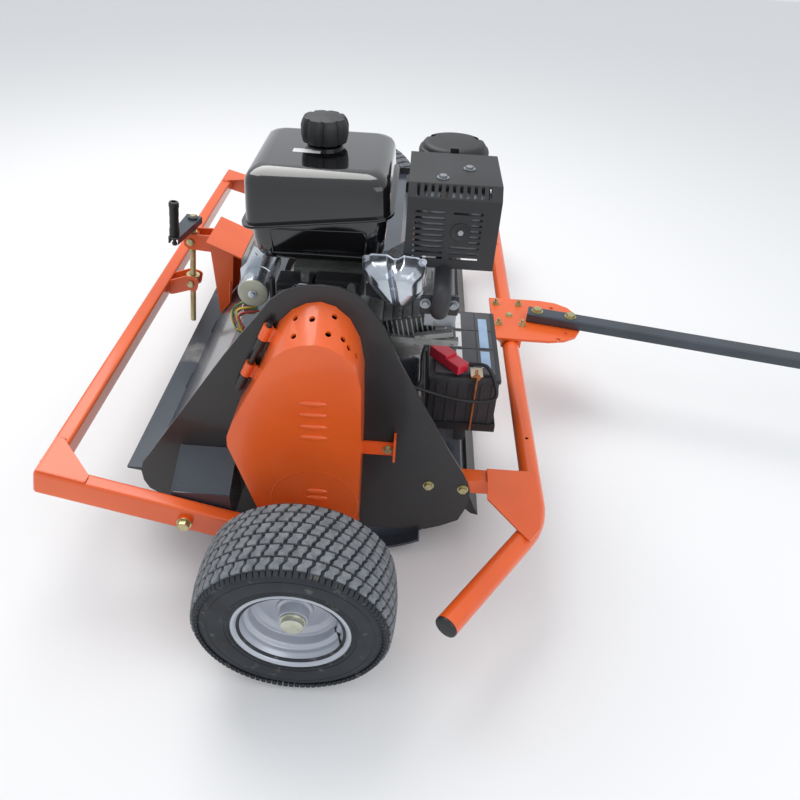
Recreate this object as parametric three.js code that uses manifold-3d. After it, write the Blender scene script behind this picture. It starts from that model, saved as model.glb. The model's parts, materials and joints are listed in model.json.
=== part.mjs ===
// A towed brush mower: a flail deck with its own engine, carried on a two-wheel frame that a crank raises and lowers.
// Millimetres. X points forward to the drawbar, Y to the mower's left, Z up, with the ground at Z = 0.
import * as THREE from "three";
import { mergeVertices } from "three/addons/utils/BufferGeometryUtils.js";
import Module from "manifold-3d";

const wasm = await Module();
wasm.setup();

// ---- driving dimensions ----
const GAP = 0.3; // left between pieces that touch
const AXLE_Z = 203; // the wheels stand on the ground
const WHEEL_Y = 1059; // middle plane of each wheel
const FRAME_PIVOT_X = -275;
const FRAME_PIVOT_Z = 214;
const FRAME_TILT = 15.3; // the side bars fall towards the front, in degrees
const FRAME_HALF = 886; // outer face of each side bar
const BAR_W = 36;
const BAR_H = 65;
const BAR_WALL = 3;
const FRAME_REAR = -330; // along the tilted bars, from the frame pivot
const FRAME_FRONT = 306;
const PLATE_Y = 744; // outer face of the deck's side plates
const PLATE_T = 6;
const DECK_T = 5;
const ROTOR_X = 5;
const ROTOR_Z = 235;
const SHAFT_X = 10;
const SHAFT_Z = 556;
const PULLEY_Y = -792; // middle of the belt
const DRIVE_R = 52; // pitch radius on the engine
const DRIVEN_R = 78; // pitch radius on the rotor
const GUARD_Y0 = -834;
const GUARD_Y1 = -745;
const TUBE_X = 503; // the front tube
const TUBE_Z = 232;
const TUBE_R = 24.15;
const TUBE_WALL = 3;
const HITCH_Y = -20;
const DRAWBAR_X = 585;
const DRAWBAR_YAW = -11.9;
const DRAWBAR_LONG = 1120;
const SWIVEL_X = -469; // upper end of the lift screw
const SWIVEL_Z = 455;
const SCREW_TILT = 7.33;
const SCREW_TO_NUT = 141.2; // along the screw
const CRANK_LONG = 126;
const NUT_BORE = 10.6; // wide enough for the screw as the frame swings under its nut
const LENGTH_MIDDLE = 600.25; // from the axle to the middle of the whole length, which is the origin

// ---- colours ----
const ORANGE = { color: 0xe8602a, roughness: 0.4, metalness: 0.1 };
const BLACK_STEEL = { color: 0x232325, roughness: 0.45, metalness: 0.2 };
const DECK_BLUE = { color: 0x3a4450, roughness: 0.35, metalness: 0.3 };
const SLATE = { color: 0x3c444e, roughness: 0.4, metalness: 0.3 };
const RUBBER = { color: 0x2d3238, roughness: 0.85, metalness: 0 };
const SILVER = { color: 0xb0b6bd, roughness: 0.35, metalness: 0.8 };
const CAST = { color: 0x6a6d6e, roughness: 0.55, metalness: 0.6 };
const ZINC = { color: 0xc8ccd0, roughness: 0.25, metalness: 0.9 };
const YELLOW_ZINC = { color: 0xb0a468, roughness: 0.4, metalness: 0.8 };
const GLOSS_BLACK = { color: 0x141516, roughness: 0.15, metalness: 0.1 };
const BLACK_PLASTIC = { color: 0x1c1c1e, roughness: 0.6, metalness: 0 };
const RED_PLASTIC = { color: 0xc01c26, roughness: 0.4, metalness: 0 };
const GREY_PLASTIC = { color: 0x3a3a3c, roughness: 0.5, metalness: 0 };
const COPPER = { color: 0xb07040, roughness: 0.4, metalness: 0.8 };

const root = new THREE.Group();

// A three.js geometry as a solid that can be joined and cut.
function solid(geometry) {
  const g = geometry.index ? geometry.toNonIndexed() : geometry.clone();
  g.deleteAttribute("normal");
  g.deleteAttribute("uv");
  const m = mergeVertices(g, 1e-3);
  const triVerts = new Uint32Array(m.index.array);
  const vertProperties = new Float32Array(m.attributes.position.array);
  const made = new wasm.Manifold(new wasm.Mesh({ numProp: 3, vertProperties, triVerts }));
  if (made.volume() >= 0) return made;
  for (let i = 0; i < triVerts.length; i += 3) {
    [triVerts[i + 1], triVerts[i + 2]] = [triVerts[i + 2], triVerts[i + 1]];
  }
  return new wasm.Manifold(new wasm.Mesh({ numProp: 3, vertProperties, triVerts }));
}

function join(...solids) {
  return solids.reduce((a, b) => a.add(b));
}

function cut(body, ...tools) {
  return tools.reduce((a, b) => a.subtract(b), body);
}

// Adds a solid to a group as a named mesh.
function node(name, body, look, group = root) {
  const m = body.getMesh();
  const g = new THREE.BufferGeometry();
  g.setAttribute("position", new THREE.BufferAttribute(new Float32Array(m.vertProperties), 3));
  g.setIndex(new THREE.BufferAttribute(new Uint32Array(m.triVerts), 1));
  const flat = g.toNonIndexed();
  flat.computeVertexNormals();
  const mesh = new THREE.Mesh(flat, new THREE.MeshStandardMaterial(look));
  mesh.name = name;
  group.add(mesh);
  return mesh;
}

function box(x0, x1, y0, y1, z0, z1) {
  const g = new THREE.BoxGeometry(x1 - x0, y1 - y0, z1 - z0);
  g.translate((x0 + x1) / 2, (y0 + y1) / 2, (z0 + z1) / 2);
  return solid(g);
}

// Cylinders along each axis, centred on a line.
function cylY(x, z, r, y0, y1, n = 16) {
  const g = new THREE.CylinderGeometry(r, r, y1 - y0, n);
  g.translate(x, (y0 + y1) / 2, z);
  return solid(g);
}

function cylZ(x, y, r, z0, z1, n = 16) {
  const g = new THREE.CylinderGeometry(r, r, z1 - z0, n);
  g.rotateX(Math.PI / 2);
  g.translate(x, y, (z0 + z1) / 2);
  return solid(g);
}

function cylX(y, z, r, x0, x1, n = 16) {
  const g = new THREE.CylinderGeometry(r, r, x1 - x0, n);
  g.rotateZ(Math.PI / 2);
  g.translate((x0 + x1) / 2, y, z);
  return solid(g);
}

function outline(points) {
  return new THREE.Shape(points.map(([a, b]) => new THREE.Vector2(a, b)));
}

// A flat outline in X and Z, thick along Y.
function plateXZ(points, y0, y1) {
  const g = new THREE.ExtrudeGeometry(outline(points), { depth: y1 - y0, bevelEnabled: false });
  g.rotateX(Math.PI / 2);
  g.translate(0, y1, 0);
  return solid(g);
}

// A flat outline in X and Y, thick along Z.
function plateXY(points, z0, z1) {
  const g = new THREE.ExtrudeGeometry(outline(points), { depth: z1 - z0, bevelEnabled: false });
  g.translate(0, 0, z0);
  return solid(g);
}

// A flat outline in Y and Z, thick along X.
function plateYZ(points, x0, x1) {
  const g = new THREE.ExtrudeGeometry(outline(points), { depth: x1 - x0, bevelEnabled: false });
  g.rotateX(Math.PI / 2);
  g.rotateZ(Math.PI / 2);
  g.translate(x0, 0, 0);
  return solid(g);
}

// A closed profile of [radius, height] turned about a line along Z or Y.
function turnedZ(profile, x, y, n = 32) {
  const g = new THREE.LatheGeometry(profile.map(([r, h]) => new THREE.Vector2(r, h)), n);
  g.rotateX(Math.PI / 2);
  g.translate(x, y, 0);
  return solid(g);
}

function turnedY(profile, x, z, n = 32) {
  const g = new THREE.LatheGeometry(profile.map(([r, h]) => new THREE.Vector2(r, h)), n);
  g.translate(x, 0, z);
  return solid(g);
}

// A round bar along a line of points with rounded bends.
function bentRod(points, r, bend, n = 12, bendSteps = 5) {
  const v = points.map((p) => new THREE.Vector3(...p));
  const path = new THREE.CurvePath();
  let from = v[0];
  for (let i = 1; i < v.length - 1; i++) {
    const back = v[i - 1].clone().sub(v[i]).normalize();
    const on = v[i + 1].clone().sub(v[i]).normalize();
    const start = v[i].clone().addScaledVector(back, bend);
    const end = v[i].clone().addScaledVector(on, bend);
    path.add(new THREE.LineCurve3(from, start));
    path.add(new THREE.QuadraticBezierCurve3(start, v[i], end));
    from = end;
  }
  path.add(new THREE.LineCurve3(from, v[v.length - 1]));
  const stops = [];
  path.curves.forEach((c) => {
    const k = c.isLineCurve3 ? 1 : bendSteps;
    for (let i = 0; i < k; i++) stops.push(c.getPoint(i / k));
  });
  stops.push(v[v.length - 1]);
  return rodThrough(stops, r, n);
}

// A round bar whose rings stand at the given points.
function rodThrough(stops, r, n) {
  const steps = stops.length - 1;
  const ringed = new THREE.Curve();
  ringed.getPoint = (t) => {
    const k = Math.min(Math.round(t * steps), steps);
    return stops[k].clone();
  };
  ringed.getPointAt = ringed.getPoint;
  ringed.getTangentAt = (t) => {
    const k = Math.min(Math.round(t * steps), steps);
    const a = stops[Math.max(k - 1, 0)];
    const b = stops[k];
    const c = stops[Math.min(k + 1, steps)];
    const into = k > 0 ? b.clone().sub(a).normalize() : c.clone().sub(b).normalize();
    const out = k < steps ? c.clone().sub(b).normalize() : into.clone();
    return into.add(out).normalize();
  };
  ringed.getTangent = ringed.getTangentAt;
  ringed.getSpacedPoints = () => stops.map((p) => p.clone());
  ringed.getPoints = ringed.getSpacedPoints;
  const round = new THREE.Shape();
  round.moveTo(r, 0);
  for (let i = 1; i < n; i++) {
    const a = (2 * Math.PI * i) / n;
    round.lineTo(r * Math.cos(a), r * Math.sin(a));
  }
  const g = new THREE.ExtrudeGeometry(round, { steps, extrudePath: ringed, bevelEnabled: false });
  return solid(g);
}

// A closed band of even thickness along an open line of [x, z] points, on the line's right-hand side.
function band(points, thick) {
  const inner = points.map(([x, z], i) => {
    const [ax, az] = points[Math.max(i - 1, 0)];
    const [bx, bz] = points[Math.min(i + 1, points.length - 1)];
    const [d1x, d1z] = i > 0 ? unit(x - ax, z - az) : unit(bx - x, bz - z);
    const [d2x, d2z] = i < points.length - 1 ? unit(bx - x, bz - z) : [d1x, d1z];
    const [nx, nz] = unit(d1z + d2z, -d1x - d2x);
    const grow = thick / Math.max(nx * d1z - nz * d1x, 0.3);
    return [x + nx * grow, z + nz * grow];
  });
  return [...points, ...inner.reverse()];
}

function unit(a, b) {
  const l = Math.hypot(a, b);
  return [a / l, b / l];
}

const SIDES = [
  ["right", -1],
  ["left", 1],
];

function span(s, a, b) {
  return s < 0 ? [-b, -a] : [a, b];
}

// ---- wheel frame: two side bars and a rear crossbar, tilted about the frame pivot ----
const frame = new THREE.Group();
frame.position.set(FRAME_PIVOT_X, 0, FRAME_PIVOT_Z);
frame.rotation.y = THREE.MathUtils.degToRad(FRAME_TILT);
root.add(frame);

const tilt = THREE.MathUtils.degToRad(FRAME_TILT);
const axleU = -FRAME_PIVOT_X * Math.cos(tilt) - (AXLE_Z - FRAME_PIVOT_Z) * Math.sin(tilt);
const axleW = -FRAME_PIVOT_X * Math.sin(tilt) + (AXLE_Z - FRAME_PIVOT_Z) * Math.cos(tilt);
const nutU = -231;
const nutW = 41.5;

const barIn = FRAME_HALF - BAR_W;
for (const [side, s] of SIDES) {
  const [y0, y1] = span(s, barIn, FRAME_HALF);
  const [b0, b1] = span(s, FRAME_HALF - 1, FRAME_HALF + 8);
  const bar = box(FRAME_REAR, FRAME_FRONT, y0, y1, -BAR_H / 2, BAR_H / 2);
  const bore = box(FRAME_REAR + BAR_WALL, FRAME_FRONT + 1, y0 + BAR_WALL, y1 - BAR_WALL,
    -BAR_H / 2 + BAR_WALL, BAR_H / 2 - BAR_WALL);
  const axleBlock = box(axleU - 36, axleU + 36, y0, y1, BAR_H / 2 - 1, axleW + 32);
  const boss = cylY(0, 0, 17, b0, b1, 16);
  const axleBore = cylY(axleU, axleW, 13, y0 - 1, y1 + 1, 16);
  const pivotBore = cylY(0, 0, 8.4, Math.min(y0, b0) - 1, Math.max(y1, b1) + 1, 12);
  const body = cut(join(cut(bar, bore), axleBlock, boss), axleBore, pivotBore);
  node("side_bar_" + side, body, ORANGE, frame);
}

const crossRear = FRAME_REAR;
const crossFront = FRAME_REAR + BAR_W;
let crossbar = cut(
  box(crossRear, crossFront, -barIn + GAP, barIn - GAP, -BAR_H / 2, BAR_H / 2),
  box(crossRear + BAR_WALL, crossFront - BAR_WALL, -barIn - 1, barIn + 1,
    -BAR_H / 2 + BAR_WALL, BAR_H / 2 - BAR_WALL),
);
for (const [, s] of SIDES) {
  const [e0, e1] = span(s, 22, 28);
  const ear = plateXZ([[crossFront - 1, -24], [crossFront - 1, 31], [nutU - 16, nutW + 22], [nutU + 8, nutW + 22],
    [nutU + 22, nutW + 8], [nutU + 22, nutW - 8], [nutU + 8, nutW - 22]].reverse(), e0, e1);
  const [h0, h1] = span(s, 20, 30);
  crossbar = join(crossbar, cut(ear, cylY(nutU, nutW, 9, h0, h1, 16)));
  // a flat gusset over each rear corner, welded to the crossbar
  const o = s * (FRAME_HALF - 3);
  const gusset = plateXY([[crossRear + 3, o], [crossRear + 3, o - s * 110], [crossRear + 24, o - s * 110],
    [crossRear + 110, o - s * 24], [crossRear + 110, o]], BAR_H / 2 + GAP, BAR_H / 2 + 5);
  const [w0, w1] = span(s, barIn - 70, barIn - 6);
  crossbar = join(crossbar, gusset, box(crossRear + 6, crossFront - 5, w0, w1, BAR_H / 2 - 1, BAR_H / 2 + 1));
}
node("rear_crossbar", crossbar, ORANGE, frame);

// ---- wheels: a turf tyre on a dished pressed rim, turning on a long bolt in the side bar's block ----
for (const [side, s] of SIDES) {
  const c = s * WHEEL_Y;
  const flip = (list) => list.map(([r, y]) => [r, c + s * y]);
  const barrel = flip([[118, -81], [118, -78], [99, -76], [92, -52], [92, 46], [99, 76], [118, 78], [118, 81],
    [96, 79], [88, 50], [66, 34], [36, 36], [30, 52], [13.4, 52], [13.4, -82], [24, -82], [24, 28], [84, 34],
    [86, -54], [96, -79], [118, -81]]);
  node("wheel_rim_" + side, turnedY(barrel, 0, AXLE_Z, 28), SILVER);
  const tyre = flip([[100.5, -75], [119, -77], [136, -84], [165, -85], [188, -78], [200, -52], [203, 0],
    [200, 52], [188, 78], [165, 85], [136, 84], [119, 77], [100.5, 75], [114, 60], [160, 72], [184, 56],
    [184, -56], [160, -72], [114, -60], [100.5, -75]]);
  node("tyre_" + side, turnedY(tyre, 0, AXLE_Z, 30), RUBBER);
  const [k0, k1] = span(s, barIn + 1, WHEEL_Y + 54);
  const [c0, c1] = span(s, FRAME_HALF + GAP, WHEEL_Y - 82 - GAP);
  const [w0, w1] = span(s, WHEEL_Y + 52 + GAP, WHEEL_Y + 56);
  const [h0, h1] = span(s, WHEEL_Y + 55, WHEEL_Y + 68);
  node("axle_bolt_" + side, join(cylY(0, AXLE_Z, 12.5, k0, k1, 14), cylY(0, AXLE_Z, 20, c0, c1, 14),
    cylY(0, AXLE_Z, 26, w0, w1), cylY(0, AXLE_Z, 22, h0, h1, 6)), YELLOW_ZINC);
}

// ---- deck: a folded shell between two side plates ----
const deckLine = [[-400, 224], [-255, 403], [-238, 415], [150, 415], [236, 283], [338, 238], [352, 182]];
const deckIn = PLATE_Y - PLATE_T - GAP;
let shell = plateXZ(band(deckLine, DECK_T), -deckIn, deckIn);
for (const [, s] of SIDES) {
  const [n0, n1] = span(s, deckIn - 41, deckIn + 1);
  shell = cut(shell, box(232, 360, n0, n1, 209, 290));
}
node("deck_shell", shell, DECK_BLUE);

const lowRear = [[-387, 142], [-409, 158], [-419, 184], [-420, 217], [-411, 244], [-343, 344]];
const lowFront = [[300, 341], [333, 285], [351, 248], [359, 222], [359, 178], [341, 122], [300, 96], [264, 81],
  [200, 75], [-300, 75]];
const arch = [[-273, 442], [-228, 508], [-190, 562], [-148, 619], [-114, 661], [-82, 704], [-56, 725], [-23, 738],
  [15, 743], [52, 740], [81, 729], [100, 713], [120, 686], [141, 658], [174, 580], [217, 498], [252, 433]];
const plain = [[-285, 425], [-262, 438], [-40, 438], [160, 438], [176, 430], [250, 370]];
for (const [side, s] of SIDES) {
  const [p0, p1] = span(s, PLATE_Y - PLATE_T, PLATE_Y);
  const line = [...lowRear, ...(s < 0 ? arch : plain), ...lowFront];
  let plate = plateXZ([...line].reverse(), p0, p1);
  const [r0, r1] = span(s, PLATE_Y - 20, PLATE_Y);
  const cutOut = [cylY(ROTOR_X, ROTOR_Z, 18.6, r0 - 1, r1 + 1)];
  if (s < 0) cutOut.push(cylY(SHAFT_X, SHAFT_Z, 66, p0 - 1, p1 + 1, 20));
  plate = cut(join(plate, cylY(ROTOR_X, ROTOR_Z, 46, r0, r1)), ...cutOut);
  node("side_plate_" + side, plate, BLACK_STEEL);

  // skid runner under the plate, with its web inside the plate
  const run = [[252, 62], [232, 50], [196, 34], [150, 20], [95, 0], [-215, 0], [-300, 62]];
  const [t0, t1] = span(s, PLATE_Y - 36, PLATE_Y + 24);
  const [v0, v1] = span(s, PLATE_Y - PLATE_T - GAP - 6, PLATE_Y - PLATE_T - GAP);
  const web = plateXZ([[-300, 66], [-215, 4], [95, 4], [150, 24], [196, 38], [232, 54], [256, 70], [262, 130],
    [-300, 130]], v0, v1);
  const round = cylY(ROTOR_X, ROTOR_Z, 60, v0 - 1, v1 + 1);
  node("skid_" + side, join(cut(web, round), plateXZ(band([...run].reverse(), -8), t0, t1)), SLATE);

  // folded bracket that carries the frame pivot outside the side plate
  const g0 = PLATE_Y + GAP;
  const g1 = FRAME_HALF - BAR_W - 2;
  const x0 = FRAME_PIVOT_X - 36;
  const x1 = FRAME_PIVOT_X + 94;
  const [a0, a1] = span(s, g1 - 6, g1);
  const wall = [[s * g0, 176], [s * g1, 176], [s * g1, 262], [s * g0, 312]];
  const ends = plateXZ([[x0, 176], [x1, 176], [x1, 262], [x0, 262]], a0, a1);
  const [d0, d1] = span(s, g1 - 7, g1 + 1);
  node("pivot_bracket_" + side, cut(join(ends, plateYZ(wall, x0, x0 + 5), plateYZ(wall, x1 - 5, x1),
    plateXZ([[x0, 176], [x1, 176], [x1, 196], [x0, 196]], ...span(s, g0, g0 + 5))),
  cylY(FRAME_PIVOT_X, FRAME_PIVOT_Z, 8.4, d0, d1, 12)), DECK_BLUE);

  // pivot bolt through the side bar and the bracket, with its nut inside
  const [h0, h1] = span(s, FRAME_HALF + 8 + GAP, FRAME_HALF + 21);
  const [k0, k1] = span(s, g1 - 22, FRAME_HALF + 9);
  const [n0, n1] = span(s, g1 - 19, g1 - 6 - GAP);
  node("pivot_bolt_" + side, join(cylY(FRAME_PIVOT_X, FRAME_PIVOT_Z, 8, k0, k1, 12),
    cylY(FRAME_PIVOT_X, FRAME_PIVOT_Z, 14, h0, h1, 6),
    cylY(FRAME_PIVOT_X, FRAME_PIVOT_Z, 14, n0, n1, 6)), YELLOW_ZINC);
}

node("rear_deflector", plateXZ([[-455, 215], [-402, 206], [-402, 219.5], [-455, 221]], -deckIn, deckIn), DECK_BLUE);
node("front_flap", plateXZ([[346, 180], [353.5, 181.4], [361, 150], [374, 118], [389, 86], [370, 91], [354, 106],
  [347, 132]].map(([x, z]) => [x + 7.6, z]).reverse(), -690, 690), BLACK_STEEL);

// ---- rotor: a tube with paddle flails, on a shaft that reaches out to the belt ----
let rotor = join(cylY(ROTOR_X, ROTOR_Z, 45, -690, 690), cylY(ROTOR_X, ROTOR_Z, 18, -806, 740));
for (let i = 0; i < 12; i++) {
  const y = -632 + i * 115;
  const g = new THREE.BoxGeometry(10, 60, 105);
  g.translate(0, 0, 94);
  g.rotateY((i * 5 * Math.PI) / 6);
  g.translate(ROTOR_X, y, ROTOR_Z);
  const h = new THREE.BoxGeometry(10, 60, 105);
  h.translate(0, 0, 94);
  h.rotateY((i * 5 * Math.PI) / 6 + Math.PI);
  h.translate(ROTOR_X, y, ROTOR_Z);
  rotor = join(rotor, solid(g), solid(h));
}
node("rotor", rotor, CAST);

// ---- belt drive inside the hinged guard ----
function pulley(r, y, w, bore) {
  return [[bore, y - w / 2], [r + 8, y - w / 2], [r - 4, y - 6], [r - 4, y + 6], [r + 8, y + w / 2],
    [bore, y + w / 2], [bore, y - w / 2]];
}
node("drive_pulley", turnedY(pulley(DRIVE_R, PULLEY_Y, 26, 13), SHAFT_X, SHAFT_Z, 22), CAST);
node("driven_pulley", turnedY(pulley(DRIVEN_R, PULLEY_Y, 26, 18.4), ROTOR_X, ROTOR_Z, 24), CAST);

function beltLoop(grow) {
  const r1 = DRIVE_R + grow;
  const r2 = DRIVEN_R + grow;
  const slope = Math.asin((r2 - r1) / (SHAFT_Z - ROTOR_Z));
  const loop = [];
  for (let i = 0; i <= 12; i++) {
    const t = slope + ((Math.PI - 2 * slope) * i) / 12;
    loop.push([SHAFT_X + r1 * Math.cos(t), SHAFT_Z + r1 * Math.sin(t)]);
  }
  for (let i = 0; i <= 14; i++) {
    const t = Math.PI - slope + ((Math.PI + 2 * slope) * i) / 14;
    loop.push([ROTOR_X + r2 * Math.cos(t), ROTOR_Z + r2 * Math.sin(t)]);
  }
  return loop;
}
node("drive_belt", cut(plateXZ(beltLoop(5), PULLEY_Y - 5.5, PULLEY_Y + 5.5),
  plateXZ(beltLoop(-2), PULLEY_Y - 7, PULLEY_Y + 7)), BLACK_PLASTIC);

const face = [[-126, 217], [-58, 104], [101, 100], [106, 414], [103, 571], [93, 613], [72, 644], [44, 662],
  [16, 668], [-12, 664], [-41, 652], [-66, 632], [-84, 605], [-113, 552], [-158, 466], [-174, 424], [-175, 398],
  [-167, 370]];
const inside = [[-122, 219], [-56, 108], [97, 104], [102, 414], [99, 570], [89, 611], [70, 640], [43, 658],
  [16, 664], [-11, 660], [-39, 648], [-63, 629], [-80, 603], [-109, 550], [-154, 464], [-170, 424], [-171, 399],
  [-163, 371]];
const hingeDir = unit(-74, -158);
const hingeAt = [-98.5 - 19 * 0.905, 580 + 19 * 0.424];
function alongHinge(radius, from, to, n = 12) {
  const g = new THREE.CylinderGeometry(radius, radius, to - from, n);
  g.translate(0, -(from + to) / 2, 0);
  g.rotateX(Math.PI / 2);
  g.rotateY(Math.atan2(-hingeDir[0], -hingeDir[1]));
  g.translate(hingeAt[0], -758, hingeAt[1]);
  return solid(g);
}
function hingeStrip(from, to, y0, y1, reach = 21) {
  const at = (a, out) => [hingeAt[0] + hingeDir[0] * a + 0.905 * out, hingeAt[1] + hingeDir[1] * a - 0.424 * out];
  return plateXZ([at(from, 2), at(to, 2), at(to, reach), at(from, reach)], y0, y1);
}
let guard = cut(plateXZ(face, GUARD_Y0, GUARD_Y1), plateXZ(inside, GUARD_Y0 + 3, GUARD_Y1 + 1));
// the arch widens from the face to the open side
guard = guard.warp((v) => {
  const up = Math.min(Math.max((v[2] - 560) / 108, 0), 1);
  v[2] += (40 * up * (v[1] - GUARD_Y0)) / (GUARD_Y1 - GUARD_Y0);
});
guard = join(guard, alongHinge(11, -72, -40), alongHinge(11, 28, 60), hingeStrip(-72, -40, -762, -756, 36),
  hingeStrip(28, 60, -762, -756));
guard = cut(guard, alongHinge(6.4, -100, 120));
guard = join(guard, box(104, 178, -750, GUARD_Y1 - GAP, 326, 362), box(173, 178, -772, GUARD_Y1 - GAP, 326, 390));
node("belt_guard", guard, ORANGE);
// the rod's knuckles stand under the guard's barrels, so the guard lifts off upwards along the rod
node("guard_hinge_rod", join(alongHinge(6, -82, 104), alongHinge(10, -38, -10), alongHinge(10, 62, 98),
  hingeStrip(-36, -12, -758, -744 - GAP).intersect(alongHinge(14, -36, -12)),
  hingeStrip(66, 80, -758, -744 - GAP).intersect(alongHinge(14, 66, 80))), BLACK_STEEL);

// ---- front tube, its links to the deck and its end caps ----
const tubeLine = [[299, -1116, TUBE_Z], [TUBE_X, -839, TUBE_Z], [TUBE_X, 839, TUBE_Z], [299, 1116, TUBE_Z]];
const boreLine = [[293, -1124.1, TUBE_Z], [TUBE_X, -839, TUBE_Z], [TUBE_X, 839, TUBE_Z], [293, 1124.1, TUBE_Z]];
node("front_tube", cut(bentRod(tubeLine, TUBE_R, 60, 16, 4), bentRod(boreLine, TUBE_R - TUBE_WALL, 60, 12, 4)),
  ORANGE);
for (const [side, s] of SIDES) {
  const turn = new THREE.Group();
  turn.position.set(299, s * 1116, TUBE_Z);
  turn.rotation.z = Math.atan2(s * 277, -204);
  root.add(turn);
  node("tube_cap_" + side, join(cylX(0, 0, 20, -20, 1, 16), cylX(0, 0, 24, GAP, 7, 24)), BLACK_PLASTIC, turn);

  const [l0, l1] = span(s, PLATE_Y - PLATE_T - 40, PLATE_Y - PLATE_T - GAP);
  const [m0, m1] = span(s, PLATE_Y - PLATE_T - 36, PLATE_Y - PLATE_T - 4);
  const bar = cut(box(240, 500, l0, l1, 212, 252), box(239, 501, l0 + 3, l1 - 3, 215, 249));
  const weld = box(398, 470, m0, m1, 250, 258);
  const gusset = plateXY([[395, 702], [395, 737], [391, 799], [451, 884], [475, 915], [500, 880], [511, 787],
    [508, 702]].map(([x, y]) => [x, s * y]), 256.6, 261.6);
  const clear = cylY(TUBE_X, TUBE_Z, TUBE_R + GAP + 0.6, l0 - 1, l1 + 1, 16);
  node("link_bar_" + side, join(cut(join(bar, weld), clear), gusset), ORANGE);
}

// ---- hitch: a plate clamped on the tube by two U-bolts, and the drawbar bolted on top ----
const plateZ = TUBE_Z + TUBE_R + GAP;
const hitchLine = [[448, -118], [612, -118], [660, -108], [696, -84], [714, -50], [718, 0], [714, 50], [696, 84],
  [660, 108], [612, 118], [448, 118]].map(([x, y]) => [x, y + HITCH_Y]);
const holes = [[643, 75], [667, -69], [641, -105]].map(([x, y]) => cylZ(x, y + HITCH_Y, 7,
  plateZ - 1, plateZ + 9, 10));
holes.push(cylZ(DRAWBAR_X, HITCH_Y, 8.4, plateZ - 1, plateZ + 9, 10));
const yaw = THREE.MathUtils.degToRad(DRAWBAR_YAW);
const lockX = DRAWBAR_X + 101 * Math.cos(yaw);
const lockY = HITCH_Y + 101 * Math.sin(yaw);
holes.push(cylZ(lockX, lockY, 8.4, plateZ - 1, plateZ + 9, 10));
const boltY = [HITCH_Y - 38, HITCH_Y + 82];
for (const y of boltY) {
  for (const x of [TUBE_X - 36, TUBE_X + 36]) holes.push(cylZ(x, y, 5.6, plateZ - 1, plateZ + 9, 8));
}
const saddle = cut(box(TUBE_X - 29, TUBE_X + 29, HITCH_Y - 112, HITCH_Y + 112, TUBE_Z - 4, plateZ + 1),
  cylY(TUBE_X, TUBE_Z, TUBE_R + GAP + 0.6, HITCH_Y - 113, HITCH_Y + 113, 16));
const saddleLeft = saddle.intersect(box(TUBE_X - 40, TUBE_X - TUBE_R + 6, -400, 400, 200, 300));
const saddleRight = saddle.intersect(box(TUBE_X + TUBE_R - 6, TUBE_X + 40, -400, 400, 200, 300));
node("hitch_plate", cut(join(plateXY(hitchLine, plateZ, plateZ + 8), saddleLeft, saddleRight), ...holes), ORANGE);
boltY.forEach((y, i) => {
  const bend = [];
  for (let k = 0; k <= 8; k++) {
    const a = Math.PI + (Math.PI * k) / 8;
    bend.push([TUBE_X + 36 * Math.cos(a), y, TUBE_Z + 36 * Math.sin(a)]);
  }
  const line = [[TUBE_X - 36, y, plateZ + 26], ...bend, [TUBE_X + 36, y, plateZ + 26]];
  const rod = rodThrough(line.map((p) => new THREE.Vector3(...p)), 5, 8);
  const nuts = [-36, 36].map((d) => cylZ(TUBE_X + d, y, 9.5, plateZ + 8 + GAP, plateZ + 17, 6));
  node(i ? "clamp_bolt_left" : "clamp_bolt_right", join(rod, ...nuts), YELLOW_ZINC);
});

const draw = new THREE.Group();
draw.position.set(DRAWBAR_X, HITCH_Y, plateZ + 8 + GAP);
draw.rotation.z = yaw;
root.add(draw);
node("drawbar", cut(box(-28, DRAWBAR_LONG, -25, 25, 0, 30), box(-29, DRAWBAR_LONG + 1, -22, 22, 3, 27),
  cylZ(0, 0, 8.4, -1, 31, 10), cylZ(101, 0, 8.4, -1, 31, 10)), SLATE, draw);
function throughBolt(x) {
  return join(cylZ(x, 0, 8, -18, 32, 10), cylZ(x, 0, 14, 30 + GAP, 40, 6), cylZ(x, 0, 15, -18, -8.8, 6));
}
node("drawbar_pivot_bolt", throughBolt(0), YELLOW_ZINC, draw);
node("drawbar_lock_bolt", throughBolt(101), YELLOW_ZINC, draw);
const couplerLine = [[DRAWBAR_LONG - 60, 30 + GAP], [DRAWBAR_LONG - 60, 38], [DRAWBAR_LONG + 30, 44],
  [DRAWBAR_LONG + 60, 60], [DRAWBAR_LONG + 102, 60], [DRAWBAR_LONG + 118, 44], [DRAWBAR_LONG + 118, 10],
  [DRAWBAR_LONG + 28, 10], [DRAWBAR_LONG + 4, 30 + GAP]];
node("coupler", cut(plateXZ([...couplerLine].reverse(), -29, 29), cylZ(DRAWBAR_LONG + 82, 0, 25, 5, 42)),
  BLACK_STEEL, draw);

// ---- lift: mast on the deck, swivel, screw with crank, and the nut on the crossbar ----
let mast = plateXZ([[-402, 489], [-304, 446], [-304, 441], [-402, 483]].reverse(), -90, 90);
const web = [[-400, 485], [-334, 456], [-345, 350], [-358, 279], [-394, 236]];
mast = join(mast, plateXZ([...web].reverse(), -62, -57), plateXZ([...web].reverse(), 57, 62),
  plateXZ([[-402, 485], [-396, 485], [-389, 243], [-394, 236]].reverse(), -62, 62));
for (const [, s] of SIDES) {
  const [e0, e1] = span(s, 22, 28);
  const ear = plateXZ([[-396, 426], [-396, 478], [-474, 478], [-488, 466], [-488, 444], [-474, 432]], e0, e1);
  mast = join(mast, cut(ear, cylY(SWIVEL_X, SWIVEL_Z, 8.4, e0 - 1, e1 + 1, 12)));
}
node("lift_mast", mast, ORANGE);

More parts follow.
